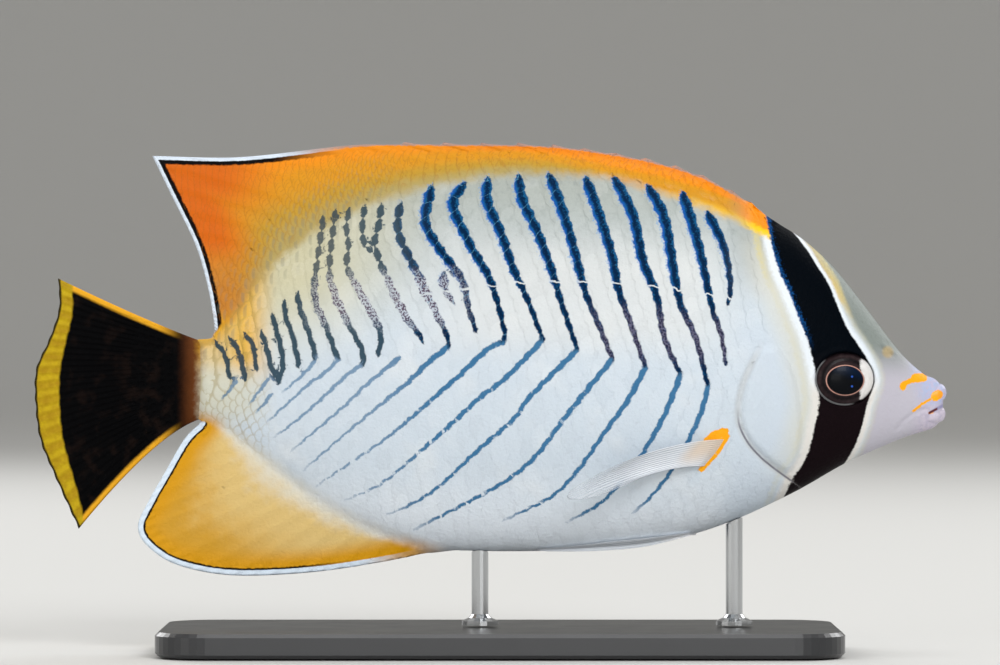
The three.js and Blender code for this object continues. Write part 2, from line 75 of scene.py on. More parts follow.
def smooth_line(points, count, closed=False):
    """Evenly counted points of a smooth line or loop through a few points of the side plane."""
    points = np.array(points, float)
    if closed:
        points = np.vstack([points, points[:1]])
    reach = np.concatenate([[0], np.cumsum(np.hypot(*np.diff(points, axis=0).T))])
    where = np.linspace(0, reach[-1], count)
    return np.column_stack([curve(np.column_stack([reach, points[:, k]]))(where) for k in range(2)])


def mix(a, b, t):
    return a + (b - a) * t


def ease(value, low, high):
    """0 below low, 1 above high, and smooth between; low may be the larger one."""
    t = np.clip((value - low) / (high - low), 0, 1)
    return t * t * (3 - 2 * t)


# %% [markdown]
# The flesh of a butterflyfish is a thin, tall disc. Its side outline and its half width are given from tail
# to snout in millimetres, and each upright section is a rounded form whose back is drawn to a keel.

# %% The flesh
SNOUT_X = 73.0
NOSE_ROUND = 2.6
STALK_END_X = -50.6
STALK_ROUND = 2.4
FULLNESS = 2.3
KEEL_ABOVE = 0.64
KEEL_BELOW = 0.52
back = curve([
    (-50, 51.3), (-46.8, 52), (-43.7, 56.2), (-39.6, 62), (-33, 68.2), (-24.7, 73), (-16.5, 76), (-8, 78),
    (0, 79.1), (8, 79.4), (16.5, 79), (25, 77.7), (33, 75.7), (39.6, 73.3), (45.3, 70.7), (50, 67.8),
    (55, 63.2), (60, 57), (66, 49.2), (69.9, 45.6), (71.5, 45), (73, 44.3)])
belly = curve([
    (-50, 38.2), (-47, 37.8), (-42.9, 34.9), (-38, 30.8), (-31.3, 25.6), (-24.7, 21.6), (-18, 18.7),
    (-11.5, 17), (-3.3, 16.5), (7.5, 16.5), (16.5, 16.9), (25, 17.8), (33, 19.6), (39.6, 22), (46.3, 25.1),
    (50, 27), (57, 31), (63, 33.7), (66.6, 35.2), (69.4, 36.1), (71.5, 36.8), (73, 37.7)])
half_width = curve([
    (-50, 2.4), (-46.8, 2.9), (-38, 4.1), (-28, 5.5), (-16.5, 7.1), (-3.3, 8.7), (10, 9.9), (23, 10.6),
    (33, 10.6), (43, 9.9), (49.5, 8.8), (56.2, 7.3), (59.3, 6.3), (64.3, 4.6), (68.4, 3.1), (71, 2.2)])


def section(x):
    """Middle height, half height and half width of the flesh at x, with both ends rounded off."""
    ahead = np.clip((x - SNOUT_X + NOSE_ROUND) / NOSE_ROUND, 0, 1)
    behind = np.clip((STALK_END_X + STALK_ROUND - x) / STALK_ROUND, 0, 1)
    middle = (back(x) + belly(x)) / 2
    height = (back(x) - belly(x)) / 2 * (1 - ahead**3.6) ** (1 / 3.6)
    width = half_width(x) * (1 - ahead**2.6) ** (1 / 2.6) * np.sqrt(1 - behind**2)
    return middle, height, width


def flesh_half(x, z):
    """Half width of the flesh at a point of the side plane, and 0 outside its outline."""
    middle, height, width = section(x)
    share = np.clip((z - middle) / np.maximum(height, 1e-6), -1, 1)
    keel = np.where(share > 0, KEEL_ABOVE, KEEL_BELOW)
    return width * (1 - np.abs(share) ** FULLNESS) ** keel


print("greatest width of the flesh:", round(2 * float(half_width(28.0)), 1), "mm")

# %% [markdown]
# The two tall fins that run along the back and the belly are fans of rays. Each ray is named by t, from 0 in
# front to 1 behind. One curve says where ray t is rooted and another where it ends.

# %% The rays of the back fin and the belly fin
dorsal_root = curve([
    (0, 45.3), (0.06, 42.5), (0.12, 38), (0.2, 31), (0.3, 20), (0.4, 6), (0.48, -6), (0.55, -16), (0.6, -25),
    (0.66, -31), (0.74, -37), (0.82, -41), (0.9, -44.4), (1, -46.6)])
DORSAL_TOP = [
    (0, 44.6, 71.3), (0.06, 40.2, 74.5), (0.12, 33, 78.4), (0.2, 22.5, 81.3), (0.3, 8, 83.3),
    (0.4, -8.6, 83.6), (0.48, -24, 83.4), (0.55, -43, 81.4), (0.6, -57.3, 81.6)]
DORSAL_REAR = [
    (0.6, -57.3, 81.6), (0.66, -54.2, 75.2), (0.74, -50.3, 67.2), (0.82, -48.4, 61), (0.9, -47.4, 56),
    (1, -47, 52.6)]
anal_root = curve([
    (0, -10.5), (0.15, -17), (0.3, -23), (0.45, -29), (0.6, -34.5), (0.75, -40), (0.88, -44.5), (1, -48.2)])
ANAL_EDGE = [
    (0, -12, 16.2), (0.15, -20.5, 14.5), (0.3, -32, 12.9), (0.42, -44.5, 12.5), (0.52, -53.5, 14.3),
    (0.6, -58.3, 17.5), (0.67, -59.7, 20.6), (0.75, -58, 24.6), (0.85, -55, 29.9), (0.93, -52, 35),
    (1, -49.4, 37.6)]
CORNER_T = 0.6
CORNER_X = -25.0


def edge_at(t, rows, more=None):
    """The tip of ray t, from one table, or from two that meet in a corner."""
    def one(table):
        table = np.array(table, float)
        return np.stack([curve(table[:, [0, 1]])(t), curve(table[:, [0, 2]])(t)], -1)
    first = one(rows)
    return first if more is None else np.where((t <= CORNER_T)[..., None], first, one(more))


def ray_of(root, x):
    """Which ray is rooted at x."""
    t = np.linspace(0, 1, 801)
    return np.interp(-np.asarray(x, float), -root(t), t)


t_line = np.linspace(0, 1, 161)
DORSAL_LINE = edge_at(t_line, DORSAL_TOP, DORSAL_REAR)
ANAL_LINE = edge_at(t_line, ANAL_EDGE)
print("fin reach:", DORSAL_LINE[:, 0].min().round(1), "to", DORSAL_LINE[:, 0].max().round(1), "mm")

# %% [markdown]
# Markings come next, because skin and scales both carry them. A chevron is a dark line from the back, bent
# at a point, with a thin limb running down and back. Painting it on an image would tie it to one view, so
# each line is a few points on the side of the fish, and every vertex stores how far it lies from the nearest.

# %% The chevrons
UPPER_LIMBS = [
    [(-46.8, 51), (-45.2, 48.8), (-44.4, 45.3)],
    [(-44.4, 51.6), (-42.8, 49.1), (-41.9, 45)],
    [(-41.9, 52.3), (-40.6, 50.4), (-40, 46.6)],
    [(-39.2, 52.6), (-38.4, 50.4), (-37.6, 47.2), (-37.1, 45.6)],
    [(-37.3, 55.4), (-36.8, 53.2), (-36, 50.4), (-35.6, 47.2), (-36.3, 44.5)],
    [(-35.4, 57.6), (-35.1, 54.8), (-34.1, 52.3), (-33.5, 49.7), (-33, 47.2)],
    [(-33.2, 58.9), (-32.9, 56.7), (-32.2, 54.8), (-31.3, 52.3), (-30.5, 49.7), (-30.2, 48.2)],
    [(-29.1, 71.8), (-29.6, 67.4), (-30, 64.2), (-30.5, 59.5), (-30, 56.7), (-28.8, 54.2), (-26.6, 48.2)],
    [(-27, 72.8), (-27.5, 69), (-28, 61.7), (-27, 58.6), (-25, 54.2), (-22.5, 49.4), (-22.5, 47.2)],
    [(-24.8, 73.1), (-25.3, 69.6), (-24.8, 66.5), (-25.2, 63.6), (-22.2, 57.9), (-19.5, 52.3), (-19.9, 49.1)],
    [(-22.3, 73.7), (-22.6, 70.2), (-22.3, 67.1), (-21.4, 66)],
    [(-19.5, 73.7), (-19.9, 70.2), (-20.6, 67.1), (-18.4, 61.1), (-15.2, 54.8), (-13.3, 52.3), (-12.7, 51)],
    [(-16.3, 73.7), (-16.8, 71.2), (-16.5, 68.3), (-13.3, 61.7), (-10.2, 55.1), (-8.9, 52.6), (-8.3, 50.3)],
    [(-11.3, 76.2), (-12.3, 70.7), (-10.1, 66.4), (-6.2, 61), (-5.1, 56.3), (-3.9, 52.8)],
    [(-9.2, 62), (-9, 59.4), (-7.6, 57.4)],
    [(-6, 76.7), (-7.8, 73.8), (-4.7, 66.4), (-1.6, 61), (0.8, 52.4), (0.6, 50.9)],
    [(-2, 77.5), (-2.2, 74.2), (0, 69.1), (2.3, 62.5), (4.3, 58.3), (7, 51.3)],
    [(3.1, 77.9), (3.5, 74.6), (5.8, 69.6), (8.2, 63.3), (10.1, 57.1), (12.6, 49.7)],
    [(8.2, 78.1), (10.5, 71.5), (12.4, 64.9), (13.8, 59.4), (16.3, 53.2), (18.3, 48.2)],
    [(14.2, 77.5), (16.3, 71.5), (18.3, 64.9), (19.2, 59.8), (21.4, 53.6), (23.7, 46.8)],
    [(19, 77.5), (21.8, 71.5), (23.3, 64.1), (25.5, 58.6), (26.8, 51.6), (29.4, 45.6)],
    [(24.5, 76.2), (26.8, 71.5), (28.2, 63.3), (29.4, 57.1), (31.9, 51.6), (33.9, 43.7)],
    [(30.1, 75), (32.5, 66.5), (34.7, 56), (36, 52.3), (36.8, 47.5)],
    [(34.2, 71.8), (36.6, 66.5), (37.6, 60.2), (37.2, 57.3)],
]
LOWER_LIMBS = [
    [(-43.3, 44.4), (-45.7, 41.5)],
    [(-38.2, 44.7), (-41.1, 40.8)],
    [(-37.6, 42.2), (-40, 39.3)],
    [(-30, 48.2), (-31.9, 46), (-34.1, 44.1), (-35.6, 42.8)],
    [(-26.4, 48), (-29.1, 45.6), (-31.3, 44.1), (-34.1, 41.5), (-38.2, 37.8)],
    [(-22.6, 47.2), (-25, 45.6), (-30.7, 40.3), (-34.4, 37.3), (-37, 35.4)],
    [(-16.5, 48.3), (-19.3, 46.1), (-22.8, 43.1), (-25, 40.9), (-30.2, 36.5), (-34.2, 33.1)],
    [(-8.3, 50.3), (-11.4, 47.9), (-14.9, 44.5), (-19.3, 40.9), (-24.4, 36.7), (-32.2, 30)],
    [(0.6, 50.9), (-1.6, 50.1), (-7.5, 44.7), (-11.3, 41.4), (-17.2, 36.3), (-20.9, 33.6), (-30.2, 27.3)],
    [(7, 51.3), (0.5, 44.7), (-3.9, 41.4), (-6.2, 39.1), (-13, 33.1), (-19.8, 27.5), (-25.4, 25)],
    [(12.6, 49.7), (4.3, 41.4), (2.6, 38.7), (-3.8, 33.1), (-10.2, 27.1), (-15, 24.1), (-19, 22.5)],
    [(18.3, 48.2), (12.8, 41.4), (9.4, 37.1), (6.2, 32.7), (2.2, 29.1), (-3.8, 25.5), (-14.2, 20.1)],
    [(23.7, 46.8), (20.8, 41.4), (17.4, 36.7), (13, 30.3), (10.6, 27.5), (8.2, 25.5), (0.6, 21.7)],
    [(29.4, 45.6), (27, 39.5), (23.2, 32.7), (18.4, 26.5), (15.4, 23.9), (11, 21.5)],
    [(33.9, 43.7), (32.8, 39.6), (30.8, 35.1), (28, 29.9), (23.8, 24.7), (21.8, 23.1)],
]
BROAD_X = -18.0  # the chevrons in front of this are broad and navy, those behind it thin and grey


def limb_rows(points, lower):
    """Points along a limb as rows of x, z, half width, strength and kind (1 for a lower limb)."""
    line = smooth_line(points, 22)
    along = np.linspace(0, 1, len(line))
    length = np.hypot(*np.diff(line, axis=0).T).sum()
    front = ease(line[:, 0], BROAD_X - 6, BROAD_X + 8)
    if lower:
        half = mix(0.5, 0.22, along) * mix(0.72, 1, front)
        strength = np.where(along > 0.9, mix(1, 0.3, (along - 0.9) / 0.1), 1) * mix(0.75, 1, front)
    else:
        bright = 1 - ease(line[:, 0], 30, 40)
        half = mix(0.46, mix(1.0, 0.5, along), front) * mix(0.75, 1, bright)
        strength = mix(0.94, 1, front)
        half = half * np.minimum(1, 0.7 + 5 * along) * np.clip(length / 7, 0.35, 1)
    return np.column_stack([line, half, strength, np.full(len(line), float(lower))])


LIMBS = [limb_rows(p, False) for p in UPPER_LIMBS] + [limb_rows(p, True) for p in LOWER_LIMBS]
print("limbs of chevrons:", len(LIMBS))

# %% [markdown]
# Every marking is then a distance, in millimetres, stored on the vertices. Distances stay smooth between
# vertices, so a material can turn them into a crisp or a ragged edge far finer than the mesh.

# %% Distances to lines
def nearest(x, z, line):
    """Distance to a line of points, the side it is passed on (+1 to the front), and the place on it."""
    best = np.full(x.shape, 1e9)
    side = np.zeros(x.shape)
    place = np.zeros(x.shape)
    for i in range(len(line) - 1):
        ax, az = line[i][:2]
        dx, dz = line[i + 1][0] - ax, line[i + 1][1] - az
        along = np.clip(((x - ax) * dx + (z - az) * dz) / (dx * dx + dz * dz), 0, 1)
        ox, oz = x - ax - along * dx, z - az - along * dz
        far = np.hypot(ox, oz)
        closer = far < best
        best = np.where(closer, far, best)
        side = np.where(closer, np.sign((x - ax) * -dz + (z - az) * dx + 1e-12), side)
        place = np.where(closer, i + along, place)
    return best, side, place


BEAD = 2.45  # length of chevron on one scale
REACH = 2.4  # how far from its middle a chevron is still felt


def chevron_fields(x, z):
    """Signed distance to the nearest chevron's middle, its half width, strength, nearness, beads and kind."""
    out = np.zeros((6, x.size))
    out[0] = 3
    gap = np.full(x.size, 1e9)
    for limb in LIMBS:
        low, high = limb[:, :2].min(0) - 2.5, limb[:, :2].max(0) + 2.5
        near = np.flatnonzero((x > low[0]) & (x < high[0]) & (z > low[1]) & (z < high[1]))
        if not near.size:
            continue
        far, side, place = nearest(x[near], z[near], limb)
        steps = np.arange(len(limb))
        half, strength = (np.interp(place, steps, limb[:, k]) for k in (2, 3))
        closer = far - half < gap[near]
        chosen = near[closer]
        gap[chosen] = (far - half)[closer]
        length = np.concatenate([[0], np.cumsum(np.hypot(*np.diff(limb[:, :2], axis=0).T))])
        offset = far * side
        beads = (np.interp(place, steps, length) + 0.45 * offset) / BEAD
        near_by = np.clip(1 - far / REACH, 0, 1)
        values = (offset, half, strength, near_by, beads, np.full(far.shape, limb[0, 4]))
        for row, value in enumerate(values):
            out[row, chosen] = value[closer]
    return out


# %% [markdown]
# The black bar through the eye is bounded by two lines, one behind and one in front. The snout carries a few
# orange strokes and the root of each breast fin a crescent. The gill cover ends at the gill opening, a thin
# line that the skin's material darkens as painted shade.

# %% The bar, the orange strokes and the gill opening
EYE = (56.4, 44.9)
EYE_RADIUS = 5.15
EYE_SQUASH = 1.14  # the eye is this much wider than tall
BAR_REAR = smooth_line([
    (43.6, 72.5), (44.1, 69.1), (44.6, 66.1), (45.6, 62.4), (46.9, 59.5), (48.5, 55.4), (49.8, 52.3),
    (51.1, 47.5), (51.9, 43.5), (52, 40.3), (51.3, 37), (50.8, 34.5), (49.9, 31.7), (48.9, 30), (47.9, 28.7),
    (46.2, 24.2)], 60)
BAR_FRONT = smooth_line([
    (46.5, 71.4), (48.4, 69), (50.6, 66), (52, 63.6), (53.9, 60.5), (55.4, 56.7), (56.9, 53.2), (58.9, 50.2),
    (60.8, 47), (61.4, 44.5), (60.2, 40.8), (59.6, 38), (58.6, 34.6), (57.6, 32.4), (56.2, 29.8)], 60)
ORANGE_STROKES = [
    ([(66.1, 43.5), (66.2, 43.9)], 0.55),
    ([(66.6, 44.2), (67.6, 44.6), (68.3, 45)], 0.44),
    ([(68.3, 45), (69.6, 45.1)], 0.75),
    ([(71.6, 42), (72.1, 42.3)], 0.8),
    ([(67.9, 39.6), (69.3, 40.7), (70.9, 41.6)], 0.22),
    ([(70.7, 39.3), (71.1, 39.4)], 0.22),
    ([(34.7, 35.6), (36.6, 36.3)], 0.75),
    ([(33.2, 34.9), (34.6, 35.5)], 0.35),
    ([(37, 35.6), (35.3, 32.9), (32.9, 30.2)], 0.5),
]
GILL_OPENING = smooth_line([
    (42.6, 50.6), (41, 47.4), (39.4, 43.6), (38.8, 40.2), (39, 37.5), (40.4, 34.6), (42.6, 32.1), (45.2, 30),
    (47.6, 28.3)], 40)


def mark_fields(x, z):
    """Distances that the markings are drawn from, for points of the side plane in millimetres."""
    offset, half, strength, near_by, beads, kind = chevron_fields(x, z)
    bar_rear, rear_side, _ = nearest(x, z, BAR_REAR)
    bar_front, front_side, _ = nearest(x, z, BAR_FRONT)
    dorsal_edge, _, _ = nearest(x, z, DORSAL_LINE)
    anal_edge, _, _ = nearest(x, z, ANAL_LINE)
    x_line = np.linspace(-50, 71, 90)
    up, _, _ = nearest(x, z, np.column_stack([x_line, back(x_line)]))
    down, _, _ = nearest(x, z, np.column_stack([x_line, belly(x_line)]))
    strokes = np.full(x.shape, 9.0)
    for points, radius in ORANGE_STROKES:
        strokes = np.minimum(strokes, nearest(x, z, points)[0] - radius)
    gill, gill_side, _ = nearest(x, z, GILL_OPENING)
    return {
        "chevron": (offset, half, strength),
        "beads": (near_by, beads, kind),
        "ground": (up * np.sign(z - back(x)), down * np.sign(belly(x) - z), 0 * x),
        "margin": (dorsal_edge, anal_edge, gill * gill_side),
        "bar": (bar_rear * rear_side, -bar_front * front_side, strokes),
    }


# %% [markdown]
# A mesh is made from arrays of vertices and faces, and its markings are stored as named vector attributes.
# Every piece of this fish goes through the same two short functions.

# %% Meshes with markings
def make_object(name, vertices, faces, smooth=True):
    """A piece from vertices in millimetres."""
    mesh = bpy.data.meshes.new(name)
    mesh.from_pydata((np.asarray(vertices, float) * MM).tolist(), [], [list(map(int, f)) for f in faces])
    mesh.validate()
    mesh.polygons.foreach_set("use_smooth", [smooth] * len(mesh.polygons))
    piece = bpy.data.objects.new(name, mesh)
    bpy.context.scene.collection.objects.link(piece)
    return piece


def points_of(mesh):
    flat = np.empty(len(mesh.vertices) * 3)
    mesh.vertices.foreach_get("co", flat)
    return flat.reshape(-1, 3) / MM


def store(mesh, name, columns):
    """Keep three numbers on each vertex under one name."""
    old = mesh.attributes.get(name)
    if old:
        mesh.attributes.remove(old)
    attribute = mesh.attributes.new(name, "FLOAT_VECTOR", "POINT")
    attribute.data.foreach_set("vector", np.column_stack(columns).astype(np.float32).ravel())


def recall(mesh, name):
    flat = np.empty(len(mesh.vertices) * 3, np.float32)
    mesh.attributes[name].data.foreach_get("vector", flat)
    return flat.reshape(-1, 3)


def paint(mesh):
    places = points_of(mesh)
    for name, columns in mark_fields(places[:, 0], places[:, 2]).items():
        store(mesh, name, columns)


def close_outwards(piece):
    """Merge doubles and turn every face outwards."""
    work = bmesh.new()
    work.from_mesh(piece.data)
    bmesh.ops.remove_doubles(work, verts=work.verts, dist=1e-7)
    bmesh.ops.dissolve_degenerate(work, edges=work.edges, dist=1e-8)
    bmesh.ops.recalc_face_normals(work, faces=work.faces)
    work.to_mesh(piece.data)
    work.free()
    piece.data.update()


# %% [markdown]
# The head has relief that light should catch: a raised gill cover with a groove behind it, an eye socket with
# a low rim, a fold behind the mouth and two nostrils a side. On a form as flat as this one, relief can be
# added straight to the half width, so that it is the same on both sides.

# %% Relief of the head
GILL_COVER = smooth_line([
    (45.3, 50.2), (42.6, 50.2), (40.9, 47), (39.7, 43.6), (39.1, 40.2), (39.3, 37.6), (40.7, 34.8),
    (42.9, 32.4), (45.3, 30.4), (47.4, 29.4), (48.8, 31.4), (49.5, 35), (49.2, 41), (47.6, 47.2)],
    60, closed=True)
SOCKET_DEPTH = 2.6
NOSTRILS = [(62.9, 49.9), (64.5, 48.8)]
CHEEK_FOLD = [(69.8, 39.9), (67.9, 39.2), (66.1, 37.8), (65.3, 36.6)]


def bump(far, width):
    """A rounded rise, 1 where far is 0, that is gone a few widths away."""
    return np.exp(-((far / width) ** 2))


def head_relief(x, z):
    """How far the head's surface stands out from, or dips into, the plain flesh."""
    gill, _, _ = nearest(x, z, GILL_OPENING)
    cover, cover_side, _ = nearest(x, z, GILL_COVER)
    inside = cover * cover_side * np.sign(area_sign(GILL_COVER))
    lift = 0.42 * ease(inside, -0.2, 1.1) - 0.3 * bump(gill, 0.32)
    lift = lift - 0.12 * bump(inside - 0.1, 0.35)
    r = np.hypot(x - EYE[0], (z - EYE[1]) * EYE_SQUASH)
    lift = lift + 0.25 * bump(r - EYE_RADIUS - 0.2, 0.35)
    lift = lift - SOCKET_DEPTH * ease(r, EYE_RADIUS, EYE_RADIUS - 0.8)
    for nx, nz in NOSTRILS:
        r = np.hypot(x - nx, z - nz)
        lift = lift + 0.16 * bump(r - 0.62, 0.22) - 0.5 * bump(r, 0.36)
    fold, _, _ = nearest(x, z, CHEEK_FOLD)
    return lift - 0.22 * bump(fold, 0.35)


def area_sign(loop):
    x, z = loop[:, 0], loop[:, 1]
    return np.sum(x[:-1] * z[1:] - x[1:] * z[:-1])


# %% [markdown]
# The skin is one closed surface over head, body, stalk and the two tall fins, so that no seam shows. It is a
# net of ribs: each rib starts at the tip of a belly ray, crosses the flesh and ends at the tip of a back ray.
# The two sides meet along the outline, and both ends are closed by a cap.

# %% The net of ribs
RIB_POINTS = 134
FIN_ROOT_HALF = 1.25
FIN_TIP_HALF = 0.24
SPINES = 14
SOFT_RAYS = 15
SPINY_END = 0.47  # the spines stand on the rays from t = 0 to here, and soft rays follow
ANAL_RAYS = 18
HEAD_X = 38.0  # in front of this the ribs stand closer, because the head has the finest relief
stations = np.concatenate([
    np.linspace(-50.55, -47, 12)[:-1], np.linspace(-47, CORNER_X, 42)[:-1],
    np.linspace(CORNER_X, HEAD_X, 118)[:-1], np.linspace(HEAD_X, 70.4, 98)[:-1],
    SNOUT_X - NOSE_ROUND * (1 - np.sin(np.linspace(0, 1.545, 14)))])


def spur(t):
    """How far a spine's point stands past the web of the fin, in millimetres."""
    phase = np.mod(t / SPINY_END * (SPINES - 1), 1)
    tooth = mix(0.9, -0.5, ease(phase, 0, 0.35)) + 0.4 * ease(phase, 0.7, 1)
    return np.where((t < SPINY_END) & (t > 0.01), tooth, 0)


def ray_span(t, root, outline, *tips):
    """From the foot of ray t, on the outline of the flesh, to its tip."""
    foot_x = float(root(t))
    return edge_at(np.array([t]), *tips)[0] - [foot_x, float(outline(foot_x))]


def share_out(far, length):
    """How far out on a fin a place is, from 0 at its root to 1 at its tip."""
    return np.clip(far / length, 0, 1) if length > 0.01 else np.zeros(len(far))


def rib(x):
    """One rib: places in the side plane, half thickness, and where each lies on a ray."""
    middle, height, _ = section(x)
    top, bottom = np.array([x, middle + height]), np.array([x, middle - height])
    t_up, t_down = float(ray_of(dorsal_root, x)), float(ray_of(anal_root, x))
    up = ray_span(t_up, dorsal_root, back, DORSAL_TOP, DORSAL_REAR)
    down = ray_span(t_down, anal_root, belly, ANAL_EDGE)
    up_fade = ease(x, 47, 45.3) * ease(x, -47.6, -46.6)
    down_fade = ease(x, -7, -10.5) * ease(x, -49.2, -48.2)
    up = up * (1 + float(spur(np.array(t_up))) / max(np.hypot(*up), 1)) * up_fade
    down = down * down_fade
    path = np.array([bottom + down, bottom, top, top + up])
    lengths = np.hypot(*np.diff(path, axis=0).T)
    q = np.linspace(0, 1, RIB_POINTS)
    q = mix(0.5 - 0.5 * np.cos(np.pi * q), q, 0.45)
    reach = np.concatenate([[0], np.cumsum(lengths)])
    where = q * reach[-1]
    place = np.column_stack([np.interp(where, reach, path[:, k]) for k in range(2)])
    s_down = share_out(lengths[0] - where, lengths[0])
    s_up = share_out(where - reach[2], lengths[2])
    fin = np.zeros(len(q))
    for s, fade, first in ((s_up, up_fade, False), (s_down, down_fade, True)):
        above = where <= reach[1] + lengths[1] / 2 if first else where > reach[1] + lengths[1] / 2
        half = mix(FIN_TIP_HALF, FIN_ROOT_HALF, (1 - s) ** 1.7) * fade
        fin = np.where(above, half, fin)
    flesh = np.where((where > reach[1]) & (where < reach[2]), flesh_half(place[:, 0], place[:, 1]), 0)
    half = (flesh**3 + fin**3) ** (1 / 3)
    to_edge = np.minimum(where, reach[-1] - where)
    half = half * np.sqrt(1 - (1 - np.clip(to_edge / 0.3, 0, 1)) ** 2)
    ray = np.where(s_up > 0, t_up, np.where(s_down > 0, t_down, 0))
    return place, half, ray, np.where(s_up > 0, s_up, -s_down)


ribs = [rib(float(x)) for x in stations]
print("ribs:", len(ribs), "with", RIB_POINTS, "points a side")

# %% [markdown]
# Fin rays show as fine ridges under the skin. A number that counts the rays gives them, and it is stored on
# the vertices so that the material can follow the same rays. Then both sides of the net become one closed
# mesh.

# %% Ray ridges and the closed skin
def ray_phase(t, s):
    """A number that passes a whole value at each ray."""
    spiny = t / SPINY_END * (SPINES - 1)
    soft = SPINES + (t - 0.5) / 0.5 * (SOFT_RAYS - 1)
    return np.where(s > 0, np.where(t < 0.485, spiny, soft), t * (ANAL_RAYS - 1))


def ridge(phase, s):
    wave = 0.5 + 0.5 * np.cos(2 * np.pi * phase)
    return 0.17 * (wave**2 - 0.3) * ease(s, 0, 0.2) * (1 - 0.4 * s)


def build_skin():
    places = np.array([r[0] for r in ribs])
    half = np.array([r[1] for r in ribs])
    t = np.array([r[2] for r in ribs])
    s = np.array([r[3] for r in ribs])
    phase = ray_phase(t, s)
    rim = np.zeros_like(half)
    rim[:, 2:-2] = 1
    x, z = places[..., 0], places[..., 1]
    flat = ease(half, 0.5, 2.0)
    relief = np.where(x > 37, head_relief(x, z) * flat, 0)
    half = np.maximum(half + relief + ridge(phase, np.abs(s)) * rim, 0)
    half[:, 0] = half[:, -1] = 0
    rows, columns = half.shape
    left = np.stack([x, half, z], -1).reshape(-1, 3)
    right = np.stack([x, -half, z], -1)[:, 1:-1].reshape(-1, 3)
    right_of = np.full((rows, columns), -1)
    right_of[:, 1:-1] = rows * columns + np.arange(rows * (columns - 2)).reshape(rows, -1)
    left_of = np.arange(rows * columns).reshape(rows, columns)
    right_of[:, 0], right_of[:, -1] = left_of[:, 0], left_of[:, -1]
    faces = []
    for net, turn in ((left_of, False), (right_of, True)):
        a, b, c, d = net[:-1, :-1], net[1:, :-1], net[1:, 1:], net[:-1, 1:]
        quads = np.stack([a, d, c, b] if not turn else [a, b, c, d], -1).reshape(-1, 4)
        faces += quads.tolist()
    vertices = np.vstack([left, right])
    for row in (0, rows - 1):
        loop = list(left_of[row]) + list(right_of[row][-2:0:-1])
        faces.append(loop if row == 0 else loop[::-1])
    skin = make_object("skin", vertices, faces)
    values = (phase, np.abs(s), np.where(s != 0, 1.0, 0.0))
    store(skin.data, "ray", [np.concatenate([v.ravel(), v[:, 1:-1].ravel()]) for v in values])
    paint(skin.data)
    return skin


skin = build_skin()
close_outwards(skin)
print("skin:", len(skin.data.polygons), "faces")

# %% [markdown]
# Shader maths reads best as plain expressions. A small class wraps a socket, and each operator on it adds a
# Math node. A second class builds any other node from its settings and its inputs.

# %% A small language for materials
class Wire:
    """A socket that can be used in a sum."""

    def __init__(self, finish, socket):
        self.finish = finish
        self.socket = socket

    def math(self, operation, *others):
        return self.finish.node("Math", {"operation": operation}, [self, *others]).out()

    def __add__(self, other):
        return self.math("ADD", other)

    __radd__ = __add__

    def __mul__(self, other):
        return self.math("MULTIPLY", other)

    __rmul__ = __mul__

    def __sub__(self, other):
        return self.math("SUBTRACT", other)

    def __rsub__(self, other):
        return self.finish.node("Math", {"operation": "SUBTRACT"}, [other, self]).out()

    def __truediv__(self, other):
        return self.math("DIVIDE", other)

    def __neg__(self):
        return self * -1

    def __pow__(self, other):
        return self.math("POWER", other)

    def min(self, other):
        return self.math("MINIMUM", other)

    def max(self, other):
        return self.math("MAXIMUM", other)

    def abs(self):
        return self.math("ABSOLUTE")

    def sin(self):
        return self.math("SINE")

    def ease(self, low, high):
        """0 below low and 1 above high, smooth between; low may be the larger one."""
        settings = {"interpolation_type": "SMOOTHSTEP"}
        if low < high:
            return self.finish.node("MapRange", settings, [self, low, high, 0.0, 1.0]).out()
        return self.finish.node("MapRange", settings, [self, high, low, 1.0, 0.0]).out()


class Made:
    """A node, with its outputs as wires."""

    def __init__(self, finish, node):
        self.finish = finish
        self.node = node

    def out(self, which=0):
        return Wire(self.finish, self.node.outputs[which])


class Finish:
    """A material and the nodes that make its colour, gloss and relief."""

    def __init__(self, name):
        self.material = bpy.data.materials.new(name)
        self.material.use_nodes = True
        self.tree = self.material.node_tree
        self.surface = self.tree.nodes["Principled BSDF"]
        place = self.node("TexCoord").out("Object")
        self.place = self.node("VectorMath", {"operation": "SCALE"}, {"Vector": place, "Scale": 1 / MM}).out()
        self.x, self.y, self.z = self.split(self.place)

    def node(self, kind, settings=None, inputs=()):
        node = self.tree.nodes.new("ShaderNode" + kind)
        for key, value in (settings or {}).items():
            setattr(node, key, value)
        pairs = inputs.items() if isinstance(inputs, dict) else enumerate(inputs)
        for key, value in pairs:
            self.plug(node.inputs[key], value)
        return Made(self, node)

    def plug(self, socket, value):
        if isinstance(value, Wire):
            self.tree.links.new(value.socket, socket)
        else:
            socket.default_value = value

    def split(self, vector):
        parts = self.node("SeparateXYZ", {}, [vector])
        return tuple(parts.out(k) for k in range(3))

    def stored(self, name):
        return self.split(self.node("Attribute", {"attribute_name": name}).out("Vector"))

    def blend(self, first, second, factor):
        """A colour between two, by a factor from 0 to 1."""
        inputs = {0: factor, 6: first, 7: second}
        return self.node("Mix", {"data_type": "RGBA"}, inputs).out(2)

    def noise(self, per_mm, detail=3.0, roughness=0.55, where=None):
        inputs = {"Vector": where or self.place, "Scale": per_mm, "Detail": detail, "Roughness": roughness}
        return self.node("TexNoise", {}, inputs).out(0)

    def relief(self, height, depth_mm, normal=None):
        inputs = {"Strength": 1.0, "Distance": depth_mm * MM, "Height": height}
        if normal is not None:
            inputs["Normal"] = normal
        return self.node("Bump", {}, inputs).out()

    def set(self, **values):
        for key, value in values.items():
            self.plug(self.surface.inputs[key.replace("_", " ")], value)


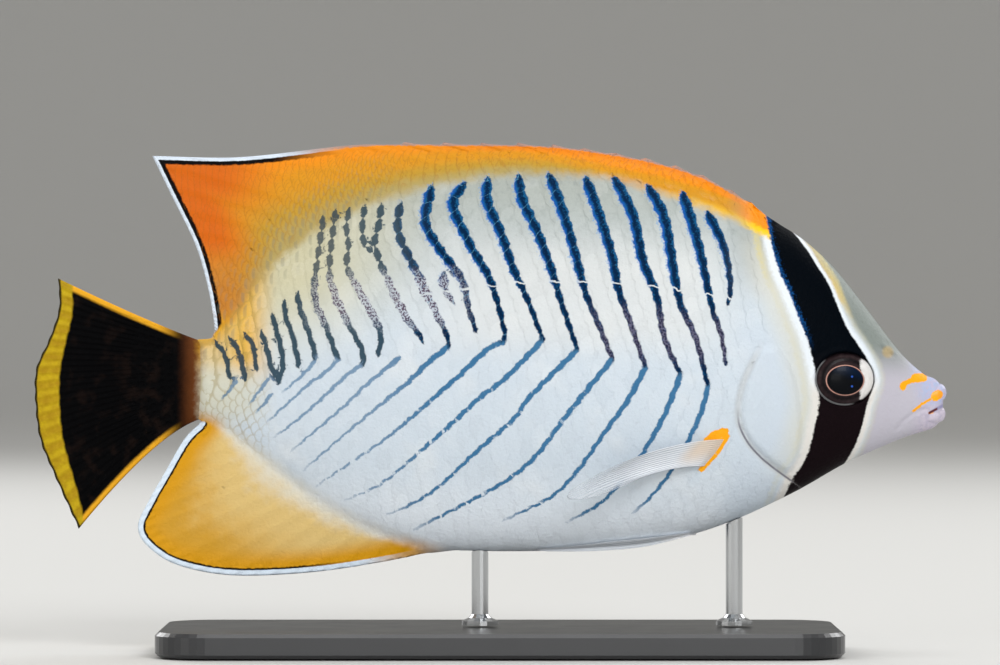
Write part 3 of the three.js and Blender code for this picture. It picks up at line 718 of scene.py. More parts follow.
def shade(red, green, blue):
    """A colour from the 0 to 255 values that an eye reads off a screen."""
    linear = [((c / 255 + 0.055) / 1.055) ** 2.4 if c > 10 else c / 255 / 12.92 for c in (red, green, blue)]
    return (*linear, 1.0)


# %% [markdown]
# The skin's ground runs from chalk white on the belly to warm grey on the back, cream towards the rear and
# yellow on the stalk. The lowest part of the belly is painted paler still, as painted light that lifts the
# shade under the fish. The tall fins grade from ivory at their roots to orange or yellow at their edges,
# which are lined in black and white. All of it is worked out from the stored distances.

# %% The skin's colour
def tail_root_brown(f):
    """Where the stalk darkens into the tail, on the skin and on the fin alike."""
    return (f.x + (f.noise(1.2, 3.0) - 0.5) * 1.4).ease(-47.8, -50.6)


def ground_colour(f):
    up, down, _ = f.stored("ground")
    broad = f.noise(0.12, 2.0)
    colour = f.blend(shade(198, 209, 219), shade(160, 166, 160), f.z.ease(50, 80))
    colour = f.blend(colour, shade(220, 224, 226), (broad - 0.5).ease(0, 0.25) * 0.4)
    blotch = (f.noise(0.8, 5.0, 0.7) - 0.5).ease(0.0, 0.2) * f.z.ease(56, 72)
    colour = f.blend(colour, shade(136, 144, 142), blotch * 0.4)
    # Painted light: the belly, which faces down into shade, is painted paler.
    colour = f.blend(colour, shade(218, 226, 234), f.z.ease(32, 20))
    rear = f.x.ease(-6, -36) * (f.z - f.x * 0.3).ease(54, 72)
    colour = f.blend(colour, shade(196, 188, 146), rear * 0.8)
    middle = f.z.ease(46, 54) * f.z.ease(72, 62) * f.x.ease(-20, 0) * f.x.ease(42, 30)
    colour = f.blend(colour, shade(214, 215, 213), middle * 0.6)
    stalk = f.x.ease(-36, -43) * (f.z + (f.x + 46) * 0.2).ease(43, 50)
    colour = f.blend(colour, shade(222, 168, 22), stalk)
    rear_low = f.x.ease(-40, -47) * f.z.ease(36, 42)
    colour = f.blend(colour, shade(196, 190, 160), rear_low * 0.6)
    return f.blend(colour, shade(98, 54, 24), tail_root_brown(f)), up, down


def dorsal_colour(f, colour, up):
    edge, _, _ = f.stored("margin")
    share = up.max(0.0) / (up.max(0.0) + edge + 0.001)
    streak = f.noise(0.5, 4.0) - 0.5
    share = share + streak * 0.22 + f.x.ease(0, 24) * 0.5
    fin = f.blend(shade(170, 150, 88), shade(184, 144, 44), share.ease(0.02, 0.3))
    fin = f.blend(fin, shade(210, 142, 16), share.ease(0.25, 0.6))
    fin = f.blend(fin, shade(234, 138, 0), share.ease(0.6, 0.95))
    red = f.x.ease(-34, -47) * edge.ease(13, 4)
    fin = f.blend(fin, shade(206, 98, 8), red * f.z.ease(60, 68))
    fin = f.blend(fin, shade(190, 122, 44), red * f.z.ease(68, 60))
    fin = f.blend(fin, shade(222, 164, 24), f.z.ease(57, 52))
    red = f.x.ease(-16, 4) * f.x.ease(44, 30) * edge.ease(1.5, 0.4)
    fin = f.blend(fin, shade(222, 112, 8), red * 0.5)
    foot = f.x.ease(14, 36)
    fin = f.blend(fin, shade(226, 176, 30), foot * up.ease(-0.8, -2.2))
    reach = (up + streak * 1.8 + foot * 1.8).ease(-2.0, 0.4)
    colour = f.blend(colour, fin, reach)
    rear = f.x.ease(-24, -38)
    fuzz = (f.noise(1.4, 2.0) - 0.5) * 0.5
    inside = up.ease(0.2, 0.8)
    black = (edge + fuzz).ease(1.45, 1.15) * inside * rear
    colour = f.blend(colour, shade(12, 10, 10), black)
    white = (edge + fuzz * 0.3).ease(0.68, 0.52) * inside * rear
    colour = f.blend(colour, shade(214, 226, 240), white)
    tip = (edge + fuzz).ease(0.45, 0.2) * inside * (1 - rear)
    return f.blend(colour, shade(150, 140, 140), tip * 0.8)


def anal_colour(f, colour, down):
    _, edge, _ = f.stored("margin")
    share = down.max(0.0) / (down.max(0.0) + edge + 0.001)
    streak = f.noise(0.45, 4.0) - 0.5
    share = share + streak * 0.25
    fin = f.blend(shade(214, 208, 190), shade(214, 184, 118), share.ease(0.0, 0.35))
    fin = f.blend(fin, shade(200, 150, 44), share.ease(0.35, 0.8) * f.x.ease(-28, -48))
    fin = f.blend(fin, shade(208, 148, 8), edge.ease(5.0, 1.6))
    reach = (down + streak * 1.5).ease(-2.2, 1.2)
    colour = f.blend(colour, fin, reach * f.x.ease(-6, -16))
    rear = f.x.ease(-22, -34)
    fuzz = (f.noise(1.4, 2.0) - 0.5) * 0.4
    inside = down.ease(0.1, 0.6)
    black = (edge + fuzz).ease(1.35, 1.1) * inside * rear
    colour = f.blend(colour, shade(14, 12, 10), black)
    white = (edge + fuzz * 0.3).ease(0.98, 0.82) * inside * f.x.ease(-13, -24)
    return f.blend(colour, shade(212, 226, 240), white)


# %% [markdown]
# The head is lilac grey at the mouth and pearl white on the cheek. The black bar has a ragged blue border
# behind, white bands on both sides and faint yellow lines beyond them. Each is a range of the distance to one
# of the bar's two lines, and noise added to the distance makes the edges ragged.

# %% The head's colour and the bar
def muzzle_colour(f, colour):
    """Skin of the mouth, blue above and pink below, shared by the snout and the lips."""
    mottle = f.noise(1.6, 3.0).ease(0.38, 0.62)
    above = f.blend(shade(164, 178, 212), shade(178, 174, 202), mottle)
    below = f.blend(shade(194, 184, 200), shade(178, 170, 190), mottle)
    skin_here = f.blend(below, above, f.z.ease(39.8, 41.4))
    return f.blend(colour, skin_here, (f.x + (f.z - 41).abs() * 0.2).ease(67.5, 71) * 0.85)


def head_colour(f, colour):
    rear, front, strokes = f.stored("bar")
    cheek = rear.ease(-13, -6) * f.z.ease(56, 50)
    colour = f.blend(colour, shade(197, 208, 219), cheek)
    brow = f.x.ease(36, 44) * f.z.ease(56, 66)
    colour = f.blend(colour, shade(130, 134, 128), brow * 0.75)
    ahead = front.ease(-0.6, -2.0)
    snout = f.blend(shade(184, 181, 192), shade(130, 138, 134), f.z.ease(44, 51))
    snout = muzzle_colour(f, snout)
    mottled = f.noise(0.9, 3.0) - 0.5
    snout = f.blend(snout, shade(96, 98, 92), mottled.ease(0.05, 0.25) * f.z.ease(46, 52) * 0.3)
    colour = f.blend(colour, snout, ahead)
    fuzz = (f.noise(1.7, 3.0) - 0.5) * 0.9
    warm = rear.ease(-6.5, -2.2) * front.ease(-0.5, 0.5) * f.z.ease(27, 36) * f.z.ease(72, 64)
    colour = f.blend(colour, shade(206, 206, 196), warm * 0.7)
    ragged = front + fuzz * 0.5
    line = (rear + 2.2 + fuzz).abs().ease(0.9, 0.0) * front.ease(-0.5, 0.5) * (f.z.ease(58, 68) + 0.3)
    fore = (ragged + 1.2).abs().ease(0.9, 0.1) * rear.ease(-0.5, 0.5) * (f.z.ease(54, 62) + 0.35)
    colour = f.blend(colour, shade(206, 194, 132), (line + fore).min(1.0) * (0.55 + fuzz))
    slim = f.z.ease(50, 56)
    white = ragged.ease(-1.2, -0.4) * (1 - slim) + ragged.ease(-0.85, -0.25) * slim
    white = (rear + fuzz * 0.9).ease(-1.7, -0.6).min(white)
    cool = (-front - rear).ease(-4, 0) + f.z.ease(42, 46)
    pale = f.blend(shade(221, 218, 213), shade(224, 231, 238), cool)
    colour = f.blend(colour, pale, white * 0.95)
    up, _, _ = f.stored("ground")
    nape = (up + fuzz * 1.4).ease(-3.6, -2.4) * f.x.ease(38, 42) * rear.ease(0.6, 0.2)
    yellow = f.blend(shade(236, 138, 4), shade(238, 196, 24), (up + fuzz).ease(-1.4, -2.4))
    colour = f.blend(colour, yellow, nape)
    inside = (rear + fuzz * 0.8).ease(-0.1, 0.25).min((front + fuzz * 0.35).ease(-0.1, 0.2))
    dark = f.blend(shade(20, 12, 15), shade(2, 6, 12), f.z.ease(42, 50))
    feather = f.noise(3.0, 2.0) - 0.5
    blue = (rear + fuzz * 1.4 + feather * 2.2).ease(0.95, 0.2) * f.z.ease(49, 56)
    dark = f.blend(dark, shade(16, 80, 146), blue * 0.7)
    colour = f.blend(colour, dark, inside)
    colour = f.blend(colour, shade(246, 166, 16), (strokes + fuzz * 0.3 + feather * 0.35).ease(0.08, -0.1))
    nostril = (f.x - 63.7) ** 2 + (f.z - 49.3) ** 2
    return f.blend(colour, shade(196, 160, 70), nostril.ease(1.6, 0.2) * 0.45)


# %% [markdown]
# A chevron is dark where its half width is greater than the distance to its middle line. In front the limbs
# are navy, jointed scale by scale, with a blue fringe behind and a pale tick across. Towards the tail they
# thin out, turn grey and break into dots. The lower limbs are plain thin lines.

# %% The chevrons' colour
def chevron_colour(f, colour):
    offset, half, strength = f.stored("chevron")
    near_by, beads, lower = f.stored("beads")
    upper = 1 - lower
    front = f.x.ease(-21, -11) * upper
    fuzz = f.noise(2.6, 3.0) - 0.5
    coarse = f.noise(0.9, 2.0) - 0.5
    offset = offset + (beads * (2 * math.pi)).sin() * 0.08 + coarse * 0.3
    far = offset.abs().max((1 - near_by) * REACH - 0.2)
    joint = (beads * math.pi + coarse * 1.2).sin().abs()
    jointed = front * f.x.ease(24, 2)
    dotted = (1 - front) * upper * (f.z + f.x * 0.3).ease(50, 56)
    height = f.z - 60.8 + (f.x - 11) ** 2 * 0.004 + coarse * 1.2 + offset * 0.2
    slimmer = 1 - height.ease(1.0, -2.0) * front * 0.18
    beaded = joint.ease(0.0, 0.7) * (dotted * 0.8 + jointed * 0.22) + 1.0 - dotted * 0.7 - jointed * 0.2
    body = half * slimmer * beaded - far
    tick = height.abs()
    broken = (f.z - 58 + coarse * 4).abs().ease(6.0, 2.0) * f.x.ease(-3, -12) * f.x.ease(-34, -28) * upper
    shown = (near_by - (1 - front) * 0.36).ease(0.1, 0.25)
    speck = f.noise(3.4, 2.0).ease(0.44, 0.56)
    mask = (body + fuzz * 0.5 + coarse * broken + broken * 0.15).ease(-0.12, 0.14) * strength * shown
    mask = mask * tick.ease(0.06, 0.22).max(1 - front)
    mask = mask * (1 - broken * (1 - speck) * 0.6) * (1 - dotted * 0.06)
    fringe = (body + fuzz * 2.2 + 0.05).ease(-0.3, 0.3) * offset.ease(0.1, -0.5) * front * f.z.ease(58, 64)
    colour = f.blend(colour, shade(84, 146, 208), fringe * (1 - mask) * 0.8 * shown)
    dark = f.blend(shade(4, 34, 66), shade(18, 82, 126), (fuzz + far * 0.5).ease(0.1, 0.4))
    blue_side = (offset + fuzz * 1.4).ease(-0.2, -0.9) * front * f.z.ease(56, 64)
    dark = f.blend(dark, shade(16, 84, 166), blue_side)
    dark = f.blend(dark, f.blend(shade(150, 158, 182), shade(86, 72, 90), speck), broken)
    dark = f.blend(dark, shade(20, 56, 74), (1 - front) * upper * (1 - broken))
    dusty = dotted * (1 - broken) * (fuzz + 0.35) * (-f.x - f.z * 0.4).ease(-8, 4)
    dark = f.blend(dark, shade(92, 90, 86), dusty)
    faded = height.ease(-2.0, -6.0) * f.z.ease(46, 50) * f.x.ease(12, 19) * front
    dark = f.blend(dark, f.blend(shade(120, 116, 140), shade(52, 40, 58), speck), faded * 0.6)
    dark = f.blend(dark, shade(58, 110, 150), lower)
    seam = joint.ease(0.13, 0.04) * jointed * (fuzz * 2 + 0.5).max(0.0)
    dark = f.blend(dark, shade(84, 146, 180), seam * 0.8)
    return f.blend(colour, dark, mask)


# %% [markdown]
# The skin's own material lays these colours over one another, and noise and the fins' rays give it a low
# relief. The gill opening and the mouth's slit are thin lines of painted shade, and the slit also shows the
# red of the mouth's inside. The scales wear the same material, so their markings meet the skin's.

# %% The skin material
def skin_finish():
    f = Finish("scaled_skin")
    colour, up, down = ground_colour(f)
    colour = dorsal_colour(f, colour, up)
    rim, tint, along = f.stored("cell")
    fine = f.noise(3.2, 3.0)
    shift = (tint - 0.5) * 0.1 + (fine - 0.5) * 0.12
    colour = f.blend(colour, shade(250, 250, 250), shift.ease(0.0, 0.12) * up.ease(0.5, -1) * 0.14)
    colour = f.blend(colour, shade(60, 58, 60), shift.ease(0.0, -0.12) * 0.10)
    speckled = (f.x - 0.6 * f.z).ease(-88, -76) * (f.x + 0.15 * f.z).ease(-2, -12)
    speckled = speckled * up.ease(-6, -1) * up.ease(9, 3)
    ripple = rim.ease(0.8, 1.0) * along.ease(-0.2, -0.35)
    colour = f.blend(colour, shade(150, 92, 30), ripple * up.ease(-1, 1.5) * 0.3)
    dot = (along + 0.24).abs().ease(0.12, 0.04) * rim.ease(0.72, 0.56)
    colour = f.blend(colour, shade(116, 116, 104), dot * speckled * 0.34)
    stalk = f.x.ease(-36, -42) * up.ease(0.5, -0.5)
    centre = rim.ease(1.0, 0.72) * rim.ease(0.0, 0.05)
    colour = f.blend(colour, shade(200, 200, 184), stalk * f.z.ease(48, 44) * f.z.ease(36, 41) * 0.7)
    colour = f.blend(colour, shade(150, 128, 62), (1 - centre) * stalk * 0.4)
    colour = chevron_colour(f, colour)
    colour = anal_colour(f, colour, down)
    colour = head_colour(f, colour)
    _, _, gill = f.stored("margin")
    # Painted shade along the gill opening's slit: a soft grey line above and a dark one below.
    line = gill.abs().ease(0.9, 0.1) * f.z.ease(52, 47) * 0.35
    colour = f.blend(colour, shade(176, 172, 164), line)
    line = gill.abs().ease(0.26, 0.06) * f.z.ease(41, 36)
    colour = f.blend(colour, shade(96, 94, 108), line * 0.8)
    # Painted shade along the mouth's slit: a soft bluish shadow line, and a dark line in the red of the
    # mouth's inside.
    gape = (f.z - 39.6 - (f.x - 71.2) * 0.5).abs()
    colour = f.blend(colour, shade(128, 128, 170), gape.ease(0.5, 0.1) * f.x.ease(70.4, 71.4) * 0.7)
    colour = f.blend(colour, shade(92, 46, 50), gape.ease(0.3, 0.12) * (f.x - 71.2).abs().ease(0.9, 0.6))
    phase, along, fin = f.stored("ray")
    wave = (phase * (4 * math.pi)).sin() * 0.5 + 0.5
    web = wave * fin * along.ease(0.1, 0.4)
    growth = f.noise(1.8, 4.0, 0.6)
    normal = f.relief(growth, 0.12)
    normal = f.relief(web, 0.10, normal)
    bright = f.node("RGBToBW", {}, [colour]).out().ease(0.0, 0.3)
    f.set(Base_Color=colour, Normal=normal, Roughness=0.5 + (growth - 0.5) * 0.2, Coat_Weight=bright * 0.05)
    f.set(Coat_Roughness=0.25, Specular_IOR_Level=bright * 0.11 + 0.02)
    return f.material


SKIN = skin_finish()
skin.data.materials.append(SKIN)
print("skin material nodes:", len(SKIN.node_tree.nodes))

# %% [markdown]
# Scales lie in rows along the chevrons, like tiles on a roof, with their free edges towards the tail. Rows
# are found by sliding between a few guide rows read off the fish. Each guide is a line from the back, round
# the chevron's point, to the belly; the places along it are stepped off evenly and staggered row by row.

# %% Guide rows for the scales
ROW_GUIDES = [
    [-50.2, (-50, 48.6), (-49.6, 45), (-50, 41.5), -50.2],
    [-43.6, (-42.6, 49.4), (-41.6, 45.2), (-44.2, 41.4), -47.4],
    [-37.4, (-35, 54.3), (-32.6, 46.8), (-37.2, 42.4), -44.6],
    [-28.2, (-27.6, 60), (-22.3, 48), (-30.5, 40.6), -40.4],
    [-16.8, (-17, 70.3), (-13.3, 61.7), (-8.3, 49.8), (-19.3, 40.9), -34.8],
    [-5.8, (-6.6, 73.8), (-3.6, 65), (1.4, 50), (-11.3, 40.4), -30.8],
    [3.2, (4, 74.6), (8, 63.3), (12.8, 49), (1.2, 37.2), (-12, 25.8), -22.5],
    [14, (16.3, 71.5), (19.4, 59.8), (23.9, 46.6), (16.6, 35.6), (6, 24), -6],
    [24.5, (26.8, 71.5), (29.6, 57.1), (33.9, 43.7), (29, 31.6), 14.5],
    [30.1, (32.5, 66.5), (35.4, 53), (38.8, 42.5), (35.4, 31), 23],
    [36.4, (38.4, 62), (40.4, 52), (43.6, 42), (40.6, 30.5), 32],
    [42, (44.2, 60), (45.8, 51), (48.6, 42), (46, 32), 41],
    [47.4, (50, 60), (51.4, 51), (53.4, 43), (51.6, 34), 48.5],
]
ROW_STEP = 2.7
GUIDE_POINTS = 60


def guide_line(guide):
    """A guide row as two halves of equally many points, meeting at the chevron's point."""
    points = [(guide[0], float(back(guide[0]))), *guide[1:-1], (guide[-1], float(belly(guide[-1])))]
    inner = range(1, len(points) - 1)
    bend = max(inner, key=lambda i: points[i][0] - 0.02 * abs(points[i][1] - 47))
    halves = [smooth_line(points[: bend + 1], GUIDE_POINTS), smooth_line(points[bend:], GUIDE_POINTS)]
    return np.vstack([halves[0], halves[1][1:]])


def scale_rows():
    guides = [guide_line(g) for g in ROW_GUIDES]
    rows = []
    for one, other in zip(guides[:-1], guides[1:]):
        apart = np.hypot(*(one[GUIDE_POINTS - 1] - other[GUIDE_POINTS - 1]))
        count = max(1, round(apart / ROW_STEP))
        rows += [mix(one, other, k / count) for k in range(count)]
    return rows + [guides[-1]]


def gaps_between(line, following):
    """How far the next row lies from each point of a row, measured square to the row."""
    way = np.gradient(line, axis=0)
    way /= np.hypot(*way.T)[:, None]
    apart = following - line
    return np.clip(np.abs(way[:, 0] * apart[:, 1] - way[:, 1] * apart[:, 0]), 1.5, 3.0)


rows = scale_rows()
print("rows of scales:", len(rows))

# %% [markdown]
# To stand on a surface, a scale needs the surface's height and the way it faces. A ray shot straight in from
# the side finds both. The map that the baked colours use is the fish's own net, ribs one way and the path
# along a rib the other, with the left side in one half and the right side in the other.

# %% Where scales stand
def tree_of(piece):
    """A search tree of a piece's faces, which finds the surface under any point."""
    mesh = piece.data
    return BVHTree.FromPolygons([v.co for v in mesh.vertices], [p.vertices for p in mesh.polygons])


def net_place(x, z, side):
    """A place on the unwrapped net: along the ribs' order, and up each rib."""
    u = np.interp(x, np.concatenate([[-80], stations]), np.linspace(0.01, 0.48, len(stations) + 1))
    return float(u) + (0.5 if side < 0 else 0), 0.02 + 0.96 * (z - 8) / 82


def root_points(name, surface, places):
    """Loose points that scales grow on, from rows of x, z, side, size and the way to the scale's root."""
    tree = tree_of(surface)
    kept = []
    for x, z, side, size, headward in places:
        start = Vector((x * MM, side * 30 * MM, z * MM))
        place, normal, _, _ = tree.ray_cast(start, Vector((0, -side, 0)))
        if place is not None and abs(normal.y) > 0.1:
            kept.append((place, normal, headward, size, net_place(x, z, side)))
    mesh = bpy.data.meshes.new(name)
    mesh.from_pydata([tuple(k[0]) for k in kept], [], [])
    for key, column in (("facing", 1), ("headward", 2)):
        store(mesh, key, np.array([tuple(k[column]) for k in kept]).T)
    store(mesh, "growth", np.array([(k[3], *k[4]) for k in kept]).T)
    holder = bpy.data.objects.new(name, mesh)
    bpy.context.scene.collection.objects.link(holder)
    return holder


# %% [markdown]
# One scale is a thin lens with a rounded free edge. Geometry Nodes copy it onto every root point, turn it to
# face out and to point at the tail, and vary its size a little. Modelling each scale by hand would take days,
# and a bump texture would give no real edge to catch the light.

# %% One scale
SCALE_SIDES = 12


def scale_shape():
    """A lens one unit long, with its free edge at -x and its root at +x, made of nested rings."""
    angle = 2 * np.pi * np.arange(SCALE_SIDES) / SCALE_SIDES
    x, y = np.cos(angle), np.sin(angle)
    shares = (1.0, 0.75, 0.5, 0.25)
    rings = []
    for share in shares:
        px = 0.5 * share * x - 0.04 * share
        rings.append(np.column_stack([
            px, 0.5 * share * y * (1 - 0.12 * x), 0.026 - 0.06 * (px + 0.54) + 0.01 * (1 - share**2)]))
    vertices = np.vstack([*rings, [[0, 0, 0.004]], [[0, 0, -0.05]]])
    top, below = 4 * SCALE_SIDES, 4 * SCALE_SIDES + 1
    faces = []
    for i in range(SCALE_SIDES):
        j = (i + 1) % SCALE_SIDES
        for k in range(3):
            low, high = k * SCALE_SIDES, (k + 1) * SCALE_SIDES
            faces.append([low + i, low + j, high + j, high + i])
        faces += [[3 * SCALE_SIDES + i, 3 * SCALE_SIDES + j, top], [j, i, below]]
    shape = make_object("scale_shape", vertices / MM, faces)
    rim = np.concatenate([np.repeat(shares, SCALE_SIDES), [0, 1]])
    for edge in shape.data.edges:
        edge.use_edge_sharp = max(edge.vertices) < SCALE_SIDES
    store(shape.data, "local", vertices.T)
    store(shape.data, "rim", (rim, rim, rim))
    return shape


SCALE = scale_shape()

# %% [markdown]
# The tree takes the points, the shape of one scale, a finish and four numbers. It turns each scale twice,
# first to face out and then to point with its root to the head. It sizes each by the number stored on its
# point and by a seeded random share, and turns the copies into real mesh.

# %% The tree that grows scales
def scale_tree():
    tree = bpy.data.node_groups.new("grow_scales", "GeometryNodeTree")
    face = tree.interface
    face.new_socket("Geometry", in_out="INPUT", socket_type="NodeSocketGeometry")
    face.new_socket("Geometry", in_out="OUTPUT", socket_type="NodeSocketGeometry")
    wanted = [
        ("Scale", "NodeSocketObject"), ("Finish", "NodeSocketMaterial"), ("Size", "NodeSocketFloat"),
        ("Thickness", "NodeSocketFloat"), ("Variation", "NodeSocketFloat"), ("Seed", "NodeSocketInt"),
    ]
    sockets = {}
    for name, kind in wanted:
        sockets[name] = face.new_socket(name, in_out="INPUT", socket_type=kind).identifier

    def add(kind, settings=None, **inputs):
        node = tree.nodes.new(kind)
        for key, value in (settings or {}).items():
            setattr(node, key, value)
        for key, value in inputs.items():
            socket = node.inputs[key.replace("_", " ")]
            if isinstance(value, bpy.types.NodeSocket):
                tree.links.new(value, socket)
            else:
                socket.default_value = value
        return node

    def product(one, other):
        node = add("ShaderNodeMath", {"operation": "MULTIPLY"})
        tree.links.new(one, node.inputs[0])
        tree.links.new(other, node.inputs[1])
        return node.outputs[0]

    start = add("NodeGroupInput")
    named = {}
    for key in ("facing", "headward", "growth"):
        held = add("GeometryNodeInputNamedAttribute", {"data_type": "FLOAT_VECTOR"}, Name=key)
        named[key] = held.outputs[0]
    shape = add("GeometryNodeObjectInfo", {"transform_space": "ORIGINAL"}, Object=start.outputs["Scale"])
    turn = add("FunctionNodeAlignRotationToVector", {"axis": "Z"}, Vector=named["facing"]).outputs[0]
    turn = add(
        "FunctionNodeAlignRotationToVector", {"axis": "X", "pivot_axis": "Z"}, Rotation=turn,
        Vector=named["headward"]).outputs[0]
    parts = add("ShaderNodeSeparateXYZ", Vector=named["growth"])
    vary = add("FunctionNodeRandomValue", {"data_type": "FLOAT"}, Seed=start.outputs["Seed"])
    spread = add("ShaderNodeMath", {"operation": "MULTIPLY_ADD"})
    tree.links.new(vary.outputs[1], spread.inputs[0])
    tree.links.new(start.outputs["Variation"], spread.inputs[1])
    spread.inputs[2].default_value = 1.0
    whole = product(product(parts.outputs[0], spread.outputs[0]), start.outputs["Size"])
    thick = product(whole, start.outputs["Thickness"])
    scaling = add("ShaderNodeCombineXYZ", X=whole, Y=whole, Z=thick)
    grown = add(
        "GeometryNodeInstanceOnPoints", Points=start.outputs["Geometry"], Instance=shape.outputs["Geometry"],
        Rotation=turn, Scale=scaling.outputs[0])
    tint = add("GeometryNodeStoreNamedAttribute", {"data_type": "FLOAT", "domain": "INSTANCE"}, Name="tint")
    tree.links.new(grown.outputs[0], tint.inputs["Geometry"])
    tree.links.new(vary.outputs[1], tint.inputs["Value"])
    real = add("GeometryNodeRealizeInstances", Geometry=tint.outputs[0])
    done = add("GeometryNodeSetMaterial", Geometry=real.outputs[0], Material=start.outputs["Finish"])
    end = add("NodeGroupOutput")
    tree.links.new(done.outputs[0], end.inputs[0])
    return tree, sockets


GROW, GROW_INPUTS = scale_tree()
print("scale tree inputs:", ", ".join(GROW_INPUTS))

# %% [markdown]
# Growing a coat runs the tree once and keeps the plain mesh that comes out. Every scale is then bent to the
# surface below it, and the coat gets its markings and a small patch of the baking map for each scale.

# %% Growing a coat
PATCH = 0.003  # width of one scale on the baking map


def lay_on(mesh, surface, height):
    """Bend every scale to the surface, so that each vertex keeps its own height above it."""
    places, facing = points_of(mesh) * MM, recall(mesh, "facing")
    tree = tree_of(surface)
    foot = places - facing * height[:, None]
    for i, point in enumerate(foot):
        place, normal, _, _ = tree.find_nearest(Vector(point))
        places[i] = place + normal * float(height[i])
    mesh.vertices.foreach_set("co", places.astype(np.float32).ravel())
    mesh.update()


def grow_coat(name, holder, surface, finish, painter, thickness=1.0, variation=0.12, seed=1):
    """Scales on the holder's points, as one plain mesh with markings and its baking map."""
    modifier = holder.modifiers.new("grow", "NODES")
    modifier.node_group = GROW
    values = (SCALE, finish, 1.0, thickness, variation, seed)
    for key, value in zip(("Scale", "Finish", "Size", "Thickness", "Variation", "Seed"), values):
        modifier[GROW_INPUTS[key]] = value
    bpy.context.view_layer.update()
    ready = holder.evaluated_get(bpy.context.evaluated_depsgraph_get())
    mesh = bpy.data.meshes.new_from_object(ready)
    mesh.name = name
    piece = bpy.data.objects.new(name, mesh)
    bpy.context.scene.collection.objects.link(piece)
    bpy.data.objects.remove(holder)
    mesh.polygons.foreach_set("use_smooth", [True] * len(mesh.polygons))
    local, growth = recall(mesh, "local"), recall(mesh, "growth")
    tint = np.empty(len(mesh.vertices), np.float32)
    mesh.attributes["tint"].data.foreach_get("value", tint)
    lay_on(mesh, surface, local[:, 2] * growth[:, 0] * (1 + tint * variation) * thickness)
    store(mesh, "cell", (recall(mesh, "rim")[:, 0], tint, local[:, 0]))
    uv = growth[:, 1:3] + local[:, :2] * PATCH
    loops = np.empty(len(mesh.loops), np.int32)
    mesh.loops.foreach_get("vertex_index", loops)
    layer = mesh.uv_layers.new(name="OFBake")
    layer.data.foreach_set("uv", uv[loops].astype(np.float32).ravel())
    for key in ("local", "rim", "growth", "facing", "headward", "tint"):
        if key in mesh.attributes:
            mesh.attributes.remove(mesh.attributes[key])
    painter(mesh)
    print(name, "faces:", len(mesh.polygons))
    return piece


# %% The body's scales
HEADWARD = (1.0, 0.0, 0.0)
HEAD_LIMIT = [
    (20, 47), (28.3, 47.2), (32.1, 42.4), (37.5, 38.8), (40.2, 38.5), (43.6, 39.1), (47.4, 40.7),
    (50.6, 42.8), (55, 46.6), (62, 45.2), (70, 43)]
SCALE_LENGTH = 1.55  # length of a scale, in gaps between two rows: more than 1, so that they overlap


def head_limit(z):
    """Where the small scales of the head begin, at a height."""
    return np.interp(z, *np.array(HEAD_LIMIT, float).T)


def within_outline(x, z, margin):
    return float(belly(x)) + margin < z < float(back(x)) - margin


def body_roots():
    places = []
    for number, (line, following) in enumerate(zip(rows[:-1], rows[1:])):
        gap = gaps_between(line, following)
        step = np.hypot(*np.diff(line, axis=0).T) / gap[1:]
        count = np.concatenate([[0], np.cumsum(step)])
        for where in np.arange(0.2 + 0.5 * (number % 2), count[-1], 1.0):
            x, z = (float(np.interp(where, count, line[:, k])) for k in range(2))
            size = float(np.interp(where, count, gap)) * SCALE_LENGTH * MM
            if within_outline(x, z, 0.4) and x < head_limit(z):
                places += [(x, z, side, size, HEADWARD) for side in (1, -1)]
    return root_points("body_roots", skin, places)


body_scales = grow_coat("body_scales", body_roots(), skin, SKIN, paint, thickness=0.75, seed=3)

# %% [markdown]
# On the head the scales are much finer, and they stop short of the eye, the nostrils and the lips. The tall
# fins are scaled nearly to their edges, in rows that run along the body and shrink outwards.

# %% The scales of the head
HEAD_PITCH = 1.0


def head_roots(side):
    places = []
    for row, z in enumerate(np.arange(20.0, 74.0, HEAD_PITCH * 0.86)):
        for x in np.arange(38.0 + 0.5 * HEAD_PITCH * (row % 2), 66.0, HEAD_PITCH):
            if not within_outline(x, z, 0.5) or x < head_limit(z) + 0.6:
                continue
            if np.hypot(x - EYE[0], (z - EYE[1]) * EYE_SQUASH) < EYE_RADIUS + 0.9:
                continue
            if min(np.hypot(x - nx, z - nz) for nx, nz in NOSTRILS) < 1.1:
                continue
            size = HEAD_PITCH * 1.45 * mix(1, 0.6, max(0, (x - 58) / 8)) * MM
            places.append((x, float(z), side, size, HEADWARD))
    return root_points("head_roots", skin, places)


head_scales = [
    grow_coat("head_scales_" + word, head_roots(side), skin, SKIN, paint, thickness=0.28, seed=5)
    for side, word in ((1, "left"), (-1, "right"))]

# %% The scales of the tall fins
def fin_roots(name, root, outline, tips, cover, lift):
    """Roots in rows a set way out from the body, on the inner share of a fin given by cover."""
    t = np.linspace(0.01, 0.99, 500)
    foot = np.column_stack([root(t), outline(root(t))])
    length = np.hypot(*(tips(t) - foot).T)
    way = (tips(t) - foot) / length[:, None]
    places = []
    out, number = lift, 0
    while out < length.max() * cover:
        pitch = mix(2.1, 1.15, min(1.0, out / 18))
        line = foot + way * out
        reach = np.concatenate([[0], np.cumsum(np.hypot(*np.diff(line, axis=0).T))])
        for where in np.arange(pitch * (0.3 + 0.5 * (number % 2)), reach[-1], pitch):
            i = int(np.searchsorted(reach, where))
            if out > length[i] * cover:
                continue
            x, z = (float(np.interp(where, reach, line[:, k])) for k in range(2))
            if nearest(np.array([x]), np.array([z]), tips(np.linspace(0.3, 1, 40)))[0][0] < 1.9:
                continue
            headward = (1 - 0.6 * way[i, 0], 0.0, -0.6 * way[i, 1])
            places += [(x, z, side, pitch * 1.6 * MM, headward) for side in (1, -1)]
        out += pitch * 0.7
        number += 1
    return root_points(name, skin, places)


def dorsal_tips(t):
    return edge_at(t, DORSAL_TOP, DORSAL_REAR)


def anal_tips(t):
    return edge_at(t, ANAL_EDGE)


